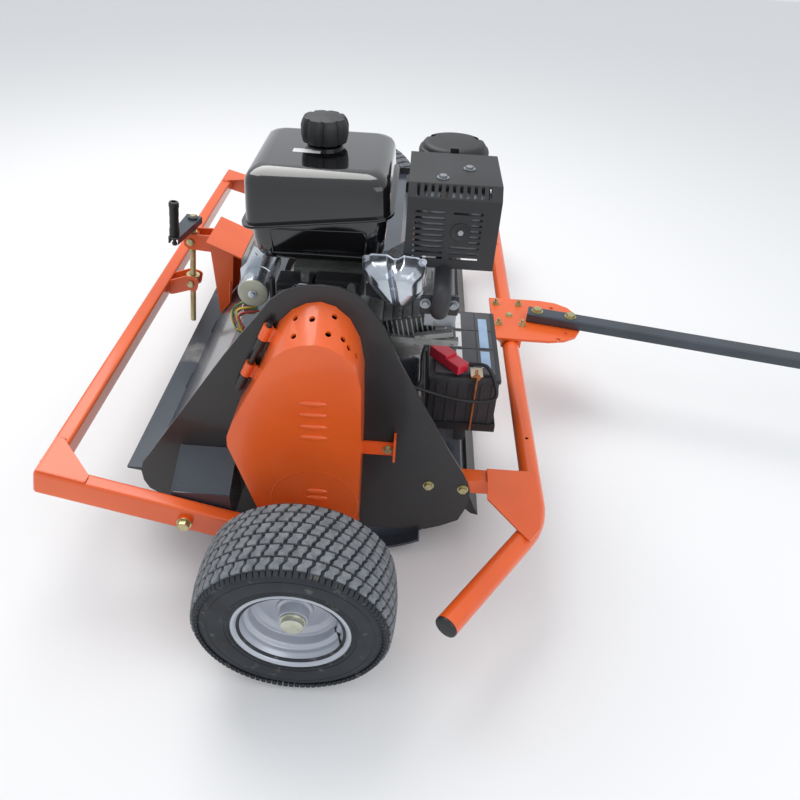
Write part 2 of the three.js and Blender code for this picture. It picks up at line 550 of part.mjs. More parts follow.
const screw = new THREE.Group();
screw.position.set(SWIVEL_X, 0, SWIVEL_Z);
screw.rotation.y = THREE.MathUtils.degToRad(SCREW_TILT);
root.add(screw);
const pin = cylY(0, 0, 8, -31, 31, 12);
node("screw_swivel", cut(join(box(-16, 16, -21, 21, -16, 16), pin), cylZ(0, 0, 9.6, -40, 40, 12)), ORANGE, screw);
const nutPin = cylY(0, -SCREW_TO_NUT, 8, -31, 31, 12);
node("screw_nut", cut(join(box(-16, 16, -21, 21, -SCREW_TO_NUT - 15, -SCREW_TO_NUT + 15), nutPin,
  cylZ(0, 0, 20.5, -SCREW_TO_NUT + 14, -SCREW_TO_NUT + 19, 16)), cylZ(0, 0, NUT_BORE, -300, 300, 12)),
YELLOW_ZINC, screw);
node("lift_screw", join(cylZ(0, 0, 9, -290, 74, 12), cylZ(0, 0, 14, -24, -16 - GAP, 16),
  cylZ(0, 0, 14, 16 + GAP, 24, 16)), YELLOW_ZINC, screw);
const crankTo = unit(-16, -118).map((v) => v * CRANK_LONG);
const across = unit(118, -16).map((v) => v * 14);
const armLine = [[-across[0] - 9, -across[1] + 20], [across[0] + 9, across[1] + 20],
  [crankTo[0] + across[0], crankTo[1] + across[1] - 14], [crankTo[0] - across[0], crankTo[1] - across[1] - 14]];
const armInside = [[-across[0] - 6, -across[1] + 26], [across[0] + 6, across[1] + 26],
  [crankTo[0] + across[0] - 3, crankTo[1] - 34], [crankTo[0] - across[0] + 3, crankTo[1] - 34]];
const arm = cut(plateXY(armLine, 44, 64), plateXY(armInside, 40, 60));
node("crank_arm", cut(join(arm, cylZ(0, 0, 15, 50, 70, 16), cylZ(crankTo[0], crankTo[1], 5, 36, 160, 10)),
  cylZ(0, 0, 9.6, 30, 100, 12)), SLATE, screw);
node("crank_knob", cut(cylZ(crankTo[0], crankTo[1], 14, 66, 164, 16),
  cylZ(crankTo[0], crankTo[1], 5.8, 65, 161, 10)), BLACK_PLASTIC, screw);

// ---- engine ----
const SEAM_TILT = 7; // of the tank's seam, in degrees
const CYLINDER_TILT = 12; // the cylinder rises towards the front, in degrees
const eRear = -420;
const eFront = -706;
const leaning = (x0, x1, z0, z1, y0, y1) => {
  const g = new THREE.BoxGeometry(x1 - x0, y1 - y0, z1 - z0);
  g.translate((x0 + x1) / 2, (y0 + y1) / 2, (z0 + z1) / 2);
  g.rotateY(-THREE.MathUtils.degToRad(CYLINDER_TILT));
  g.translate(SHAFT_X, 0, SHAFT_Z - 2);
  return solid(g);
};
let block = join(box(-112, 140, eFront + 20, eRear, 415 + GAP, 440), box(-92, 112, eFront + 12, eRear - 6, 430, 520),
  cylY(SHAFT_X, SHAFT_Z, 118, eFront, eRear, 28), cylY(SHAFT_X, SHAFT_Z, 58, -738, eFront + 5, 20),
  cylY(SHAFT_X, SHAFT_Z, 12.7, -812, -730));
block = join(block, leaning(60, 262, -10, 52, -689, -490), leaning(60, 200, -60, 0, -650, -500));
for (let i = 0; i < 6; i++) block = join(block, leaning(132 + i * 20, 138 + i * 20, 2, 62, -690, -474));
block = join(block, box(-60, 88, -600, -470, 640, 700), box(150, 290, -704, -689, 599, 613));
node("engine_block", block, CAST);

node("recoil_cover", join(cylY(SHAFT_X, SHAFT_Z + 8, 128, eRear + GAP, -366, 28),
  cylY(SHAFT_X, SHAFT_Z + 8, 92, -368, -340, 20)), BLACK_PLASTIC);
node("recoil_handle", join(cylY(-72, SHAFT_Z + 52, 5, -339.5, -316, 10), cylX(-312, SHAFT_Z + 52, 8, -108, -36, 12)),
  BLACK_PLASTIC);

function roundedRect(x0, x1, y0, y1, r) {
  const s = new THREE.Shape();
  s.moveTo(x0 + r, y0);
  s.lineTo(x1 - r, y0);
  s.absarc(x1 - r, y0 + r, r, -Math.PI / 2, 0);
  s.lineTo(x1, y1 - r);
  s.absarc(x1 - r, y1 - r, r, 0, Math.PI / 2);
  s.lineTo(x0 + r, y1);
  s.absarc(x0 + r, y1 - r, r, Math.PI / 2, Math.PI);
  s.lineTo(x0, y0 + r);
  s.absarc(x0 + r, y0 + r, r, Math.PI, 1.5 * Math.PI);
  return s;
}
function pillow(x0, x1, y0, y1, z0, z1, bevel, r) {
  const shape = roundedRect(x0 + bevel, x1 - bevel, y0 + bevel, y1 - bevel, r);
  const g = new THREE.ExtrudeGeometry(shape, { depth: z1 - z0 - 2 * bevel, bevelEnabled: true, bevelSize: bevel,
    bevelThickness: bevel, bevelSegments: 2, curveSegments: 2 });
  g.translate(0, 0, z0 + bevel);
  return solid(g);
}
const upper = pillow(-152, 136, -626, -322, 760, 904, 26, 26).intersect(box(-200, 200, -700, -200, 812, 910));
const lower = pillow(-142, 130, -620, -328, 716, 860, 34, 20).intersect(box(-200, 200, -700, -200, 700, 814));
const seamShape = new THREE.ExtrudeGeometry(roundedRect(-161, 144, -635, -313, 28), { depth: 7, bevelEnabled: false,
  curveSegments: 2 });
// the seam rises towards the front
seamShape.translate(8, 0, -3.5);
seamShape.rotateY(-THREE.MathUtils.degToRad(SEAM_TILT));
seamShape.translate(-8, 0, 812.5);
node("fuel_tank", join(upper, lower, solid(seamShape), cylZ(-10, -452, 36, 898, 911)), GLOSS_BLACK);
let cap = turnedZ([[0, 912], [38, 912], [48, 930], [49, 948], [43, 962], [0, 966]], -10, -452, 24);
for (let i = 0; i < 8; i++) {
  const a = (i * Math.PI) / 4;
  cap = cut(cap, cylZ(-10 + 53 * Math.cos(a), -452 + 53 * Math.sin(a), 9, 916, 970, 8));
}
node("fuel_cap", cap, BLACK_PLASTIC);

// muffler behind its guard, with the elbow down to the cylinder head
const guardSolid = plateYZ([[-644, 742], [-454, 742], [-454, 905], [-620, 905], [-644, 884]], 168, 345);
const guardRoom = plateYZ([[-641, 741], [-451, 741], [-451, 902], [-619, 902], [-641, 883]], 171, 342);
node("muffler_guard", cut(guardSolid, guardRoom), BLACK_PLASTIC);
const canister = pillow(186, 328, -628, -470, 752, 890, 18, 6);
const elbow = bentRod([[250, -596, 780], [250, -612, 716], [248, -734, 704], [246, -738, 666], [246, -692, 664]], 20, 14, 12, 3);
node("muffler", join(canister, elbow, box(216, 280, -698, -690.4, 640, 712)), SILVER);
node("air_cleaner", join(cylZ(262, -320, 78, 806, 874, 24), cylZ(262, -320, 70, 872, 888, 24),
  cylZ(262, -320, 46, 770, 808), box(160, 262, -345, -295, 772, 798)), BLACK_PLASTIC);
node("starter_motor", join(cylY(-136, 665, 32, -659, -500, 20), cylY(-136, 665, 24, -501, -470),
  cylY(-150, 618, 17, -640, -540), box(-160, -128, -620, -560, 620, 660)), SILVER);
const cowl = [[92, 645], [214, 669], [214, 725], [205, 738], [168, 738], [132, 713], [112, 712], [92, 700]];
const cowlRoom = [[95, 640], [211, 664], [211, 724], [204, 735], [169, 735], [133, 710], [113, 709], [95, 698]];
// its two lobes stand up in front of the tank and the muffler guard
const lobes = [[92, 660], [152, 664], [214, 684], [214, 750], [200, 766], [166, 766], [152, 754], [140, 766], [100, 766],
  [86, 750], [86, 690]];
const lobesRoom = [[95, 664], [152, 668], [211, 688], [211, 749], [198, 763], [168, 763], [152, 750], [138, 763],
  [102, 763], [89, 749], [89, 692]];
const cowlBody = join(plateXZ(cowl, -702, -520), plateXZ(lobes, -702, -648));
node("cylinder_shroud", cut(cowlBody, plateXZ(cowlRoom, -699, -510), plateXZ(lobesRoom, -699, -651)), ZINC);

// ---- battery on its tray, ahead of the engine ----
node("battery", join(box(246, 408, -597, -305, 297, 432), box(242, 411, -600, -302, 432, 444),
  box(258, 398, -586, -316, 444, 450), cylZ(288, -553, 9, 443, 458, 12), cylZ(282, -342, 9, 443, 458, 12)),
GREY_PLASTIC);
const trayLip = cut(box(240, 414, -603, -299, 290, 312), box(243, 411, -600, -302, 293.4, 320));
node("battery_tray", join(trayLip, box(318, 346, -598, -590, 254, 291), box(318, 346, -316, -308, 254, 291)),
  BLACK_STEEL);
const tie = bentRod([[352, -590, 460], [352, -610, 460], [352, -610, 300]], 3.5, 6, 8, 3);
node("hold_down_rod", join(tie, box(340, 364, -606, -576, 450.4, 456), cylZ(352, -610, 8, 452, 460, 6)), COPPER);
const cover = new THREE.Group();
cover.position.set(288, -553, 0);
cover.rotation.z = THREE.MathUtils.degToRad(-48.6);
root.add(cover);
node("terminal_cover", cut(box(-50, 50, -17, 17, 451, 478), box(-46, 46, -13, 13, 450, 474)), RED_PLASTIC, cover);
function lead(points) {
  const curve = new THREE.CatmullRomCurve3(points.map((p) => new THREE.Vector3(...p)));
  return rodThrough(curve.getPoints(18), 4.5, 8);
}
node("battery_lead_red_side", lead([[335, -571, 465], [376, -584, 468], [400, -618, 430], [388, -626, 404],
  [320, -626, 400], [240, -622, 416], [176, -640, 452], [150, -668, 478]]), BLACK_PLASTIC);
node("battery_lead_ground", lead([[282, -355, 466], [262, -430, 480], [244, -500, 490], [226, -560, 474],
  [226, -606, 432], [206, -622, 412], [180, -640, 412], [154, -652, 430]]), BLACK_PLASTIC);

root.position.x = -LENGTH_MIDDLE;

export default root;
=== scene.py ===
import json
import math

import bmesh
import bpy
from mathutils import Matrix, Vector


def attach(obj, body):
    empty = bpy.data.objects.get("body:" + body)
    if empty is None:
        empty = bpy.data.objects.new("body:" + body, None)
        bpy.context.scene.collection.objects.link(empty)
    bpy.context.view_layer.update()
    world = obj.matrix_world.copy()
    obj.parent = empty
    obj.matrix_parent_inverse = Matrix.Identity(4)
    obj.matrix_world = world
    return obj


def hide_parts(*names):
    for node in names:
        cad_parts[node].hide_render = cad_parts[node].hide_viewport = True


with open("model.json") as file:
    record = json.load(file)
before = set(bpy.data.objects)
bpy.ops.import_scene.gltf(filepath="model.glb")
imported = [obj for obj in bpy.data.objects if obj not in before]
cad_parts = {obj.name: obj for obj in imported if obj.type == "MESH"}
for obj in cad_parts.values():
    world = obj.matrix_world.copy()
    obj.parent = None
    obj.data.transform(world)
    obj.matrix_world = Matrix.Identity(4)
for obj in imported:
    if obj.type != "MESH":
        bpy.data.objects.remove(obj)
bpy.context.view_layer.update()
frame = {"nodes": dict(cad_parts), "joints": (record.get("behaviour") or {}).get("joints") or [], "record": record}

# ---- Camera, floor and light ----
# The machine stands on a plain pale floor under a soft overhead studio light, and is seen from its right side
# and above. Places are in millimetres from the point on the ground under the axle's middle.
joint_at = {j["name"]: [1000 * c for c in j["pos_m"]] for j in frame["joints"] if "pos_m" in j}
AXLE_X, RIGHT_WHEEL_Y, AXLE_Z = joint_at["wheel_right_spin"]
TO_ROW = Matrix.Translation((AXLE_X / 1000, 0, 0)) @ Matrix.Scale(0.001, 4)


def place(x, y, z):
    """A point given in millimetres from under the axle, in the row frame in metres."""
    return TO_ROW @ Vector((x, y, z))


def light(name, at, towards, size, power, colour):
    """A square area light that faces a point."""
    data = bpy.data.lights.new(name, "AREA")
    data.size = size
    data.energy = power
    data.color = colour
    lamp = bpy.data.objects.new(name, data)
    lamp.location = place(*at)
    lamp.rotation_euler = (place(*towards) - lamp.location).to_track_quat("-Z", "Y").to_euler()
    bpy.context.collection.objects.link(lamp)


CAMERA_AT = (175.6, -1889.7, 1388)
LENS, LENS_SHIFT_X, LENS_SHIFT_Y = 31.115, 0.0196, 0.0099
VIEW_YAW, VIEW_PITCH, VIEW_ROLL = (math.radians(a) for a in (-1.39, 39.08, 3.07))
ahead = Vector((math.sin(VIEW_YAW) * math.cos(VIEW_PITCH), math.cos(VIEW_YAW) * math.cos(VIEW_PITCH),
                -math.sin(VIEW_PITCH)))
level = Vector((math.cos(VIEW_YAW), -math.sin(VIEW_YAW), 0))
upward = level.cross(ahead)
view_right = level * math.cos(VIEW_ROLL) + upward * math.sin(VIEW_ROLL)
view_up = upward * math.cos(VIEW_ROLL) - level * math.sin(VIEW_ROLL)
camera = bpy.data.objects.new("camera", bpy.data.cameras.new("camera"))
camera.data.lens = LENS
camera.data.shift_x = LENS_SHIFT_X
camera.data.shift_y = LENS_SHIFT_Y
turn = Matrix((view_right, view_up, -ahead)).transposed().to_4x4()
camera.matrix_world = Matrix.Translation(place(*CAMERA_AT)) @ turn
bpy.context.collection.objects.link(camera)
bpy.context.scene.camera = camera
bpy.context.scene.view_settings.view_transform = "Standard"

FLOOR_HALF = 9
floor_mesh = bpy.data.meshes.new("floor")
floor_mesh.from_pydata([(-FLOOR_HALF, -FLOOR_HALF, 0), (FLOOR_HALF, -FLOOR_HALF, 0),
                        (FLOOR_HALF, FLOOR_HALF, 0), (-FLOOR_HALF, FLOOR_HALF, 0)], [], [(0, 1, 2, 3)])
floor = bpy.data.objects.new("floor", floor_mesh)
bpy.context.collection.objects.link(floor)
floor_look = bpy.data.materials.new("floor")
floor_look.use_nodes = True
floor_shader = floor_look.node_tree.nodes["Principled BSDF"]
floor_shader.inputs["Base Color"].default_value = (0.86, 0.86, 0.86, 1)
floor_shader.inputs["Roughness"].default_value = 0.9
floor_mesh.materials.append(floor_look)

world = bpy.data.worlds.new("studio")
world.use_nodes = True
sky = world.node_tree.nodes["Background"]
sky.inputs["Color"].default_value = (0.93, 0.96, 1, 1)
sky.inputs["Strength"].default_value = 0.8
bpy.context.scene.world = world
light("key", at=(-900, 900, 3200), towards=(0, 0, 300), size=2.2, power=62, colour=(1, 0.99, 0.97))
light("fill", at=(1700, -2600, 2400), towards=(0, 0, 300), size=2.5, power=26, colour=(0.96, 0.98, 1))


# ---- Wheel frame ----
# Two rectangular steel tubes reach forward to the axles from a rear crossbar. They are welded, with flat
# gussets over the corners, and powder coated orange.
def rgb(red, green, blue):
    """A colour picked on the screen's 0 to 255 scale, as the shader wants it."""
    return [(c / 255 / 12.92 if c <= 10 else ((c / 255 + 0.055) / 1.055) ** 2.4)
            for c in (red, green, blue)] + [1]


class Wire:
    """A socket in a node tree. Arithmetic on it adds Math nodes, and node() adds any other node."""

    def __init__(self, tree, socket=None):
        self.tree = tree
        self.socket = socket

    def node(self, kind, settings=None, inputs=None, output=0):
        made = self.tree.nodes.new(kind)
        for key, value in (settings or {}).items():
            if key == "stops":
                ramp = made.color_ramp
                for spare in range(len(value) - 2):
                    ramp.elements.new(0.5)
                for stop, (position, colour) in zip(ramp.elements, value):
                    stop.position = position
                    stop.color = colour if isinstance(colour, list) else [colour] * 3 + [1]
            else:
                setattr(made, key, value)
        for key, value in (inputs or {}).items():
            if isinstance(value, Wire):
                self.tree.links.new(value.socket, made.inputs[key])
            else:
                made.inputs[key].default_value = value
        return Wire(self.tree, made.outputs[output] if len(made.outputs) else None)

    def maths(self, operation, a, b=0.0):
        return self.node("ShaderNodeMath", {"operation": operation}, {0: a, 1: b})

    def __add__(self, other):
        return self.maths("ADD", self, other)

    __radd__ = __add__

    def __sub__(self, other):
        return self.maths("SUBTRACT", self, other)

    def __rsub__(self, other):
        return self.maths("SUBTRACT", other, self)

    def __mul__(self, other):
        return self.maths("MULTIPLY", self, other)

    __rmul__ = __mul__

    def __truediv__(self, other):
        return self.maths("DIVIDE", self, other)


def noise(wire, scale, detail=2.0, stretch=(1, 1, 1)):
    """A noise pattern fixed to the object, with scale in cells to the metre."""
    spot = wire.node("ShaderNodeTexCoord", output="Object")
    spot = wire.node("ShaderNodeMapping", inputs={"Vector": spot, "Scale": stretch})
    return wire.node("ShaderNodeTexNoise", inputs={"Vector": spot, "Scale": scale, "Detail": detail})


def blend_of(wire, share, a, b):
    """A colour between two, by a share from 0 to 1."""
    return wire.node("ShaderNodeMix", {"data_type": "RGBA"}, {0: share, 6: a, 7: b}, 2)


def ramp(wire, value, low, high):
    """0 below low, 1 above high, and even between them."""
    return wire.node("ShaderNodeMapRange", inputs={"Value": value, "From Min": low, "From Max": high})


def finish(name, tones, rough, metal=0.0, coat=0.0, blotch=9.0, grain=260.0, relief=0.1, marks=None,
           spread=0.12):
    """A surface whose colour drifts between two tones, with a fine relief and lighter or darker marks.

    marks is (colour, cells to the metre, stretch, how much is left bare from 0 to 1).
    """
    look = bpy.data.materials.new(name)
    look.use_nodes = True
    wire = Wire(look.node_tree)
    shader = look.node_tree.nodes["Principled BSDF"]
    drift = ramp(wire, noise(wire, blotch, 4), 0.35, 0.65)
    fine = noise(wire, grain, 3)
    colour = blend_of(wire, drift, rgb(*tones[0]), rgb(*tones[1]))
    roughness = rough + (fine - 0.5) * spread
    if marks:
        mark_colour, cells, stretch, bare = marks
        mask = ramp(wire, noise(wire, cells, 6, stretch), bare, bare + 0.08)
        colour = blend_of(wire, mask, colour, rgb(*mark_colour))
        roughness = roughness + mask * 0.2
    bump = wire.node("ShaderNodeBump", inputs={"Height": fine, "Strength": relief, "Distance": 0.0006})
    for key, value in (("Base Color", colour), ("Roughness", roughness), ("Normal", bump)):
        look.node_tree.links.new(value.socket, shader.inputs[key])
    shader.inputs["Metallic"].default_value = metal
    shader.inputs["Coat Weight"].default_value = coat
    shader.inputs["Coat Roughness"].default_value = 0.08
    return look


def skin(rings):
    """A closed body through rings of points in millimetres, each ring with the same count."""
    bm = bmesh.new()
    rows = [[bm.verts.new(p) for p in ring] for ring in rings]
    for one, two in zip(rows, rows[1:]):
        for k in range(len(one)):
            after = (k + 1) % len(one)
            bm.faces.new((one[k], one[after], two[after], two[k]))
    bm.faces.new(rows[0])
    bm.faces.new(rows[-1])
    bmesh.ops.recalc_face_normals(bm, faces=bm.faces)
    return bm


def prism(outline, axis, low, high):
    """A flat outline made thick along an axis. Its points leave that axis out, as (x, z) for "y"."""
    def point(a, b, depth):
        return {"y": (a, depth, b), "z": (a, b, depth), "x": (depth, a, b)}[axis]
    return skin([[point(a, b, depth) for a, b in outline] for depth in (low, high)])


def brick(x0, x1, y0, y1, z0, z1):
    """A rectangular block."""
    return prism([(x0, z0), (x1, z0), (x1, z1), (x0, z1)], "y", y0, y1)


def angles(count):
    """Even angles round a circle."""
    return [k * math.tau / count for k in range(count)]


def disc(radius, sides):
    """The outline of a circle."""
    return [(radius * math.cos(t), radius * math.sin(t)) for t in angles(sides)]


def fillet(outline, radius, steps=5):
    """An outline with its corners rounded to a radius, or to what fits."""
    rounded = []
    count = len(outline)
    for i in range(count):
        at, before, after = (Vector(outline[k % count][:2]) for k in (i, i - 1, i + 1))
        back, on = before - at, after - at
        half = back.angle(on) / 2
        reach = min(radius / max(math.tan(half), 0.05), back.length * 0.49, on.length * 0.49)
        start, end = at + back.normalized() * reach, at + on.normalized() * reach
        for k in range(steps + 1):
            t = k / steps
            rounded.append(tuple(start * (1 - t) ** 2 + at * 2 * t * (1 - t) + end * t ** 2))
    return rounded


def rectangle(width, height, radius, steps=4):
    """A rounded rectangle about the middle."""
    w, h = width / 2, height / 2
    return fillet([(-w, -h), (w, -h), (w, h), (-w, h)], radius, steps)


def moved(bm, matrix):
    """The shape, moved."""
    bmesh.ops.transform(bm, matrix=matrix, verts=bm.verts)
    return bm


def tube(length, width, height, wall, radius, ends=(True, True), nose=0):
    """A rectangular tube from 0 along x, its ends open or not. A nose rounds a first end that is closed."""
    outer = rectangle(width, height, radius)
    inner = rectangle(width - 2 * wall, height - 2 * wall, max(radius - wall, 1))
    rings = [[(x, a, b) for a, b in line] for x, line in
             ((60, inner), (0, inner), (0, outer), (length, outer), (length, inner), (length - 60, inner))]
    if not ends[0]:
        rings = rings[2:]
    if nose:
        turns = [math.radians(a) for a in (0, 18, 36, 54, 72)]
        rings[:1] = [[(nose * (1 - math.cos(t)), a, b)
                      for a, b in rectangle(width - 2 * nose * (1 - math.sin(t)),
                                            height - 2 * nose * (1 - math.sin(t)), radius)]
                     for t in turns] + [[(nose, a, b) for a, b in outer]]
    if not ends[1]:
        rings = rings[:-2]
    return skin(rings)


def soften(bm, width, angle=35, segments=2):
    """Rounds the sharp edges of a shape."""
    bmesh.ops.remove_doubles(bm, verts=bm.verts, dist=0.01)
    bmesh.ops.dissolve_limit(bm, angle_limit=math.radians(1), verts=bm.verts, edges=bm.edges)
    sharp = [e for e in bm.edges if e.is_manifold and e.calc_face_angle(0) > math.radians(angle)]
    bmesh.ops.bevel(bm, geom=sharp, offset=width, offset_type="OFFSET", segments=segments, profile=0.6,
                    affect="EDGES", clamp_overlap=True)
    return bm


def of_node(node):
    """A copy of a CAD node's solid with its loose triangles merged, in millimetres."""
    bm = bmesh.new()
    bm.from_mesh(frame["nodes"][node].data)
    moved(bm, TO_ROW.inverted())
    bmesh.ops.remove_doubles(bm, verts=bm.verts, dist=0.01)
    return bm


body_of_node = {n: body for body, nodes in frame["record"]["behaviour"]["bodies"].items() for n in nodes}


def gathered(shapes):
    """Several shapes as one."""
    whole = bmesh.new()
    for bm in shapes:
        part = bpy.data.meshes.new("part")
        bm.to_mesh(part)
        whole.from_mesh(part)
        bpy.data.meshes.remove(part)
        bm.free()
    return whole


def make(name, shapes, look, body, stands_for=(), sharp=38):
    """Joins shapes into one piece with one finish, rides it on its body and hides the nodes it stands for."""
    mesh = bpy.data.meshes.new(name)
    whole = moved(gathered(shapes), TO_ROW)
    for face in whole.faces:
        face.smooth = True
    for edge in whole.edges:
        edge.smooth = edge.is_manifold and edge.calc_face_angle(0) < math.radians(sharp)
    whole.to_mesh(mesh)
    whole.free()
    mesh.materials.append(look)
    made = bpy.data.objects.new(name, mesh)
    bpy.context.collection.objects.link(made)
    weighted = made.modifiers.new("even_shading", "WEIGHTED_NORMAL")
    weighted.keep_sharp = True
    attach(made, body)
    if stands_for:
        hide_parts(*stands_for)
    return made


def remake(node, look, shapes=None, edge=1.0, extra=()):
    """A finer piece in place of one CAD node: its own solid with softened edges, or other shapes."""
    base = shapes if shapes is not None else [soften(of_node(node), edge)]
    return make(node + "_finished", [*base, *extra], look, body_of_node[node], [node])


def bead(start, end, width, pitch=5.0):
    """A weld bead: overlapping scales along a line."""
    a, b = Vector(start), Vector(end)
    along = (b - a).normalized()
    count = max(2, int((b - a).length / pitch))
    side = along.cross(Vector((0, 0, 1)))
    side = side.normalized() if side.length > 0.1 else Vector((1, 0, 0))
    over = side.cross(along)
    rings = []
    for i in range(count * 2 + 1):
        at = a.lerp(b, i / (count * 2))
        reach = width * (1.0 if i % 2 else 0.78)
        rings.append([at + side * reach * math.cos(t) + over * reach * math.sin(t) for t in angles(8)])
    return skin(rings)


orange = finish("orange_powder_coat", ((234, 98, 36), (224, 90, 31)), 0.3, coat=0.35, blotch=5, grain=420,
                relief=0.06, spread=0.08)
FRAME_TILT = math.radians(15.3)
pivot = Vector((joint_at["frame_lift"][0] - AXLE_X, 0, joint_at["frame_lift"][2]))
IN_FRAME = Matrix.Translation(pivot) @ Matrix.Rotation(FRAME_TILT, 4, "Y")
axle_u = -pivot.x * math.cos(FRAME_TILT) - (AXLE_Z - pivot.z) * math.sin(FRAME_TILT)
axle_w = -pivot.x * math.sin(FRAME_TILT) + (AXLE_Z - pivot.z) * math.cos(FRAME_TILT)
BAR_FROM, BAR_TO, BAR_WIDE, BAR_HIGH, BAR_WALL, BAR_CORNER = -330, 306, 36, 65, 3, 8
FRAME_HALF = 886
for side, way in (("right", -1), ("left", 1)):
    centre = way * (FRAME_HALF - BAR_WIDE / 2)
    bar = moved(tube(BAR_TO - BAR_FROM, BAR_WIDE, BAR_HIGH, BAR_WALL, BAR_CORNER, (False, True), 8),
                Matrix.Translation((BAR_FROM, centre, 0)))
    low, high = sorted((way * (FRAME_HALF - 1), way * (FRAME_HALF + 8)))
    boss = prism(disc(17, 28), "y", low, high)
    low, high = sorted((way * (FRAME_HALF - BAR_WIDE), way * FRAME_HALF))
    axle_block = fillet([(axle_u - 36, 31), (axle_u + 36, 31), (axle_u + 36, axle_w + 32),
                         (axle_u - 36, axle_w + 32)], 14)
    block = soften(prism(axle_block, "y", low + 1, high - 1), 1)
    shapes = [moved(bm, IN_FRAME) for bm in (bar, soften(boss, 0.8), block)]
    remake("side_bar_" + side, orange, shapes)

cross = moved(tube(2 * (FRAME_HALF - BAR_WIDE) - 1, BAR_WIDE, BAR_HIGH, BAR_WALL, BAR_CORNER, (False, False)),
              Matrix.Translation((BAR_FROM + BAR_WIDE / 2, -(FRAME_HALF - BAR_WIDE) + 0.5, 0))
              @ Matrix.Rotation(math.pi / 2, 4, "Z"))
NUT_U, NUT_W, GUSSET = -231, 41.5, 109
shapes = [cross]
for way in (-1, 1):
    low, high = sorted((way * 22, way * 28))
    ear = fillet([(BAR_FROM + 35, -24), (BAR_FROM + 35, 31), (NUT_U - 16, NUT_W + 22),
                  (NUT_U + 22, NUT_W + 22), (NUT_U + 22, NUT_W - 22), (NUT_U, NUT_W - 24)], 13)
    shapes.append(soften(prism(ear, "y", low, high), 0.8))
    edge = way * (FRAME_HALF - 4)
    gusset = [(BAR_FROM + 4, edge), (BAR_FROM + 4, edge - way * (GUSSET - 1)),
              (BAR_FROM + 22, edge - way * (GUSSET - 1)), (BAR_FROM + GUSSET, edge - way * 22),
              (BAR_FROM + GUSSET, edge)]
    shapes.append(soften(prism(fillet(gusset, 5), "z", BAR_HIGH / 2 + 0.2, BAR_HIGH / 2 + 5), 1))
    top = BAR_HIGH / 2 + 2
    inner = edge - way * GUSSET
    shapes.append(bead((BAR_FROM + 8, edge - way * 6, top), (BAR_FROM + 8, edge - way * 106, top), 3.6))
    shapes.append(bead((BAR_FROM + 12, edge - way * 2, top), (BAR_FROM + 108, edge - way * 2, top), 3.6))
    shapes.append(bead((BAR_FROM + 26, inner, top - 1), (BAR_FROM + 6, inner, top - 1), 3.2))
    side_joint = way * (FRAME_HALF - BAR_WIDE)
    shapes.append(bead((BAR_FROM + BAR_WIDE, side_joint, -26), (BAR_FROM + BAR_WIDE, side_joint, 26), 3.4))
    shapes.append(bead((BAR_FROM + 2, side_joint, BAR_HIGH / 2), (BAR_FROM + BAR_WIDE, side_joint,
                                                                  BAR_HIGH / 2), 3.0))
remake("rear_crossbar", orange, [moved(bm, IN_FRAME) for bm in shapes])


# ---- Wheels ----
# Each wheel is a pressed steel rim, painted silver, with a turf tyre. It turns on a long bolt through the
# side bar's block, held by a washer and a large flat head.
def spun(profile, x, z, steps=96):
    """A closed profile of (radius, y) turned about a line along y."""
    count = len(profile)
    bm = bmesh.new()
    rings = [[bm.verts.new((x + r * math.cos(t), y, z + r * math.sin(t))) for r, y in profile]
             for t in angles(steps)]
    for one, two in zip(rings, rings[1:] + rings[:1]):
        for i in range(count):
            bm.faces.new((one[i], one[(i + 1) % count], two[(i + 1) % count], two[i]))
    bmesh.ops.remove_doubles(bm, verts=bm.verts, dist=0.01)
    bmesh.ops.recalc_face_normals(bm, faces=bm.faces)
    return bm


def smooth_line(points, steps=4):
    """More points along a smooth line through the given ones."""
    line = []
    for i in range(len(points) - 1):
        a, b, c, d = (Vector(points[min(max(k, 0), len(points) - 1)]) for k in (i - 1, i, i + 1, i + 2))
        for k in range(steps):
            t = k / steps
            line.append(tuple(0.5 * (2 * b + (c - a) * t + (2 * a - 5 * b + 4 * c - d) * t ** 2
                                     + (3 * b - a - 3 * c + d) * t ** 3)))
    return line + [tuple(points[-1])]


def round_bar(points, radius, sides=16):
    """A round bar along a line of points, closed flat at both ends."""
    line = [Vector(p) for p in points]
    rings = []
    across = None
    for i, at in enumerate(line):
        run = (line[min(i + 1, len(line) - 1)] - line[max(i - 1, 0)]).normalized()
        if across is None:
            across = run.orthogonal().normalized()
        across = (across - run * across.dot(run)).normalized()
        over = run.cross(across)
        rings.append([at + radius * (across * math.cos(t) + over * math.sin(t)) for t in angles(sides)])
    return skin(rings)


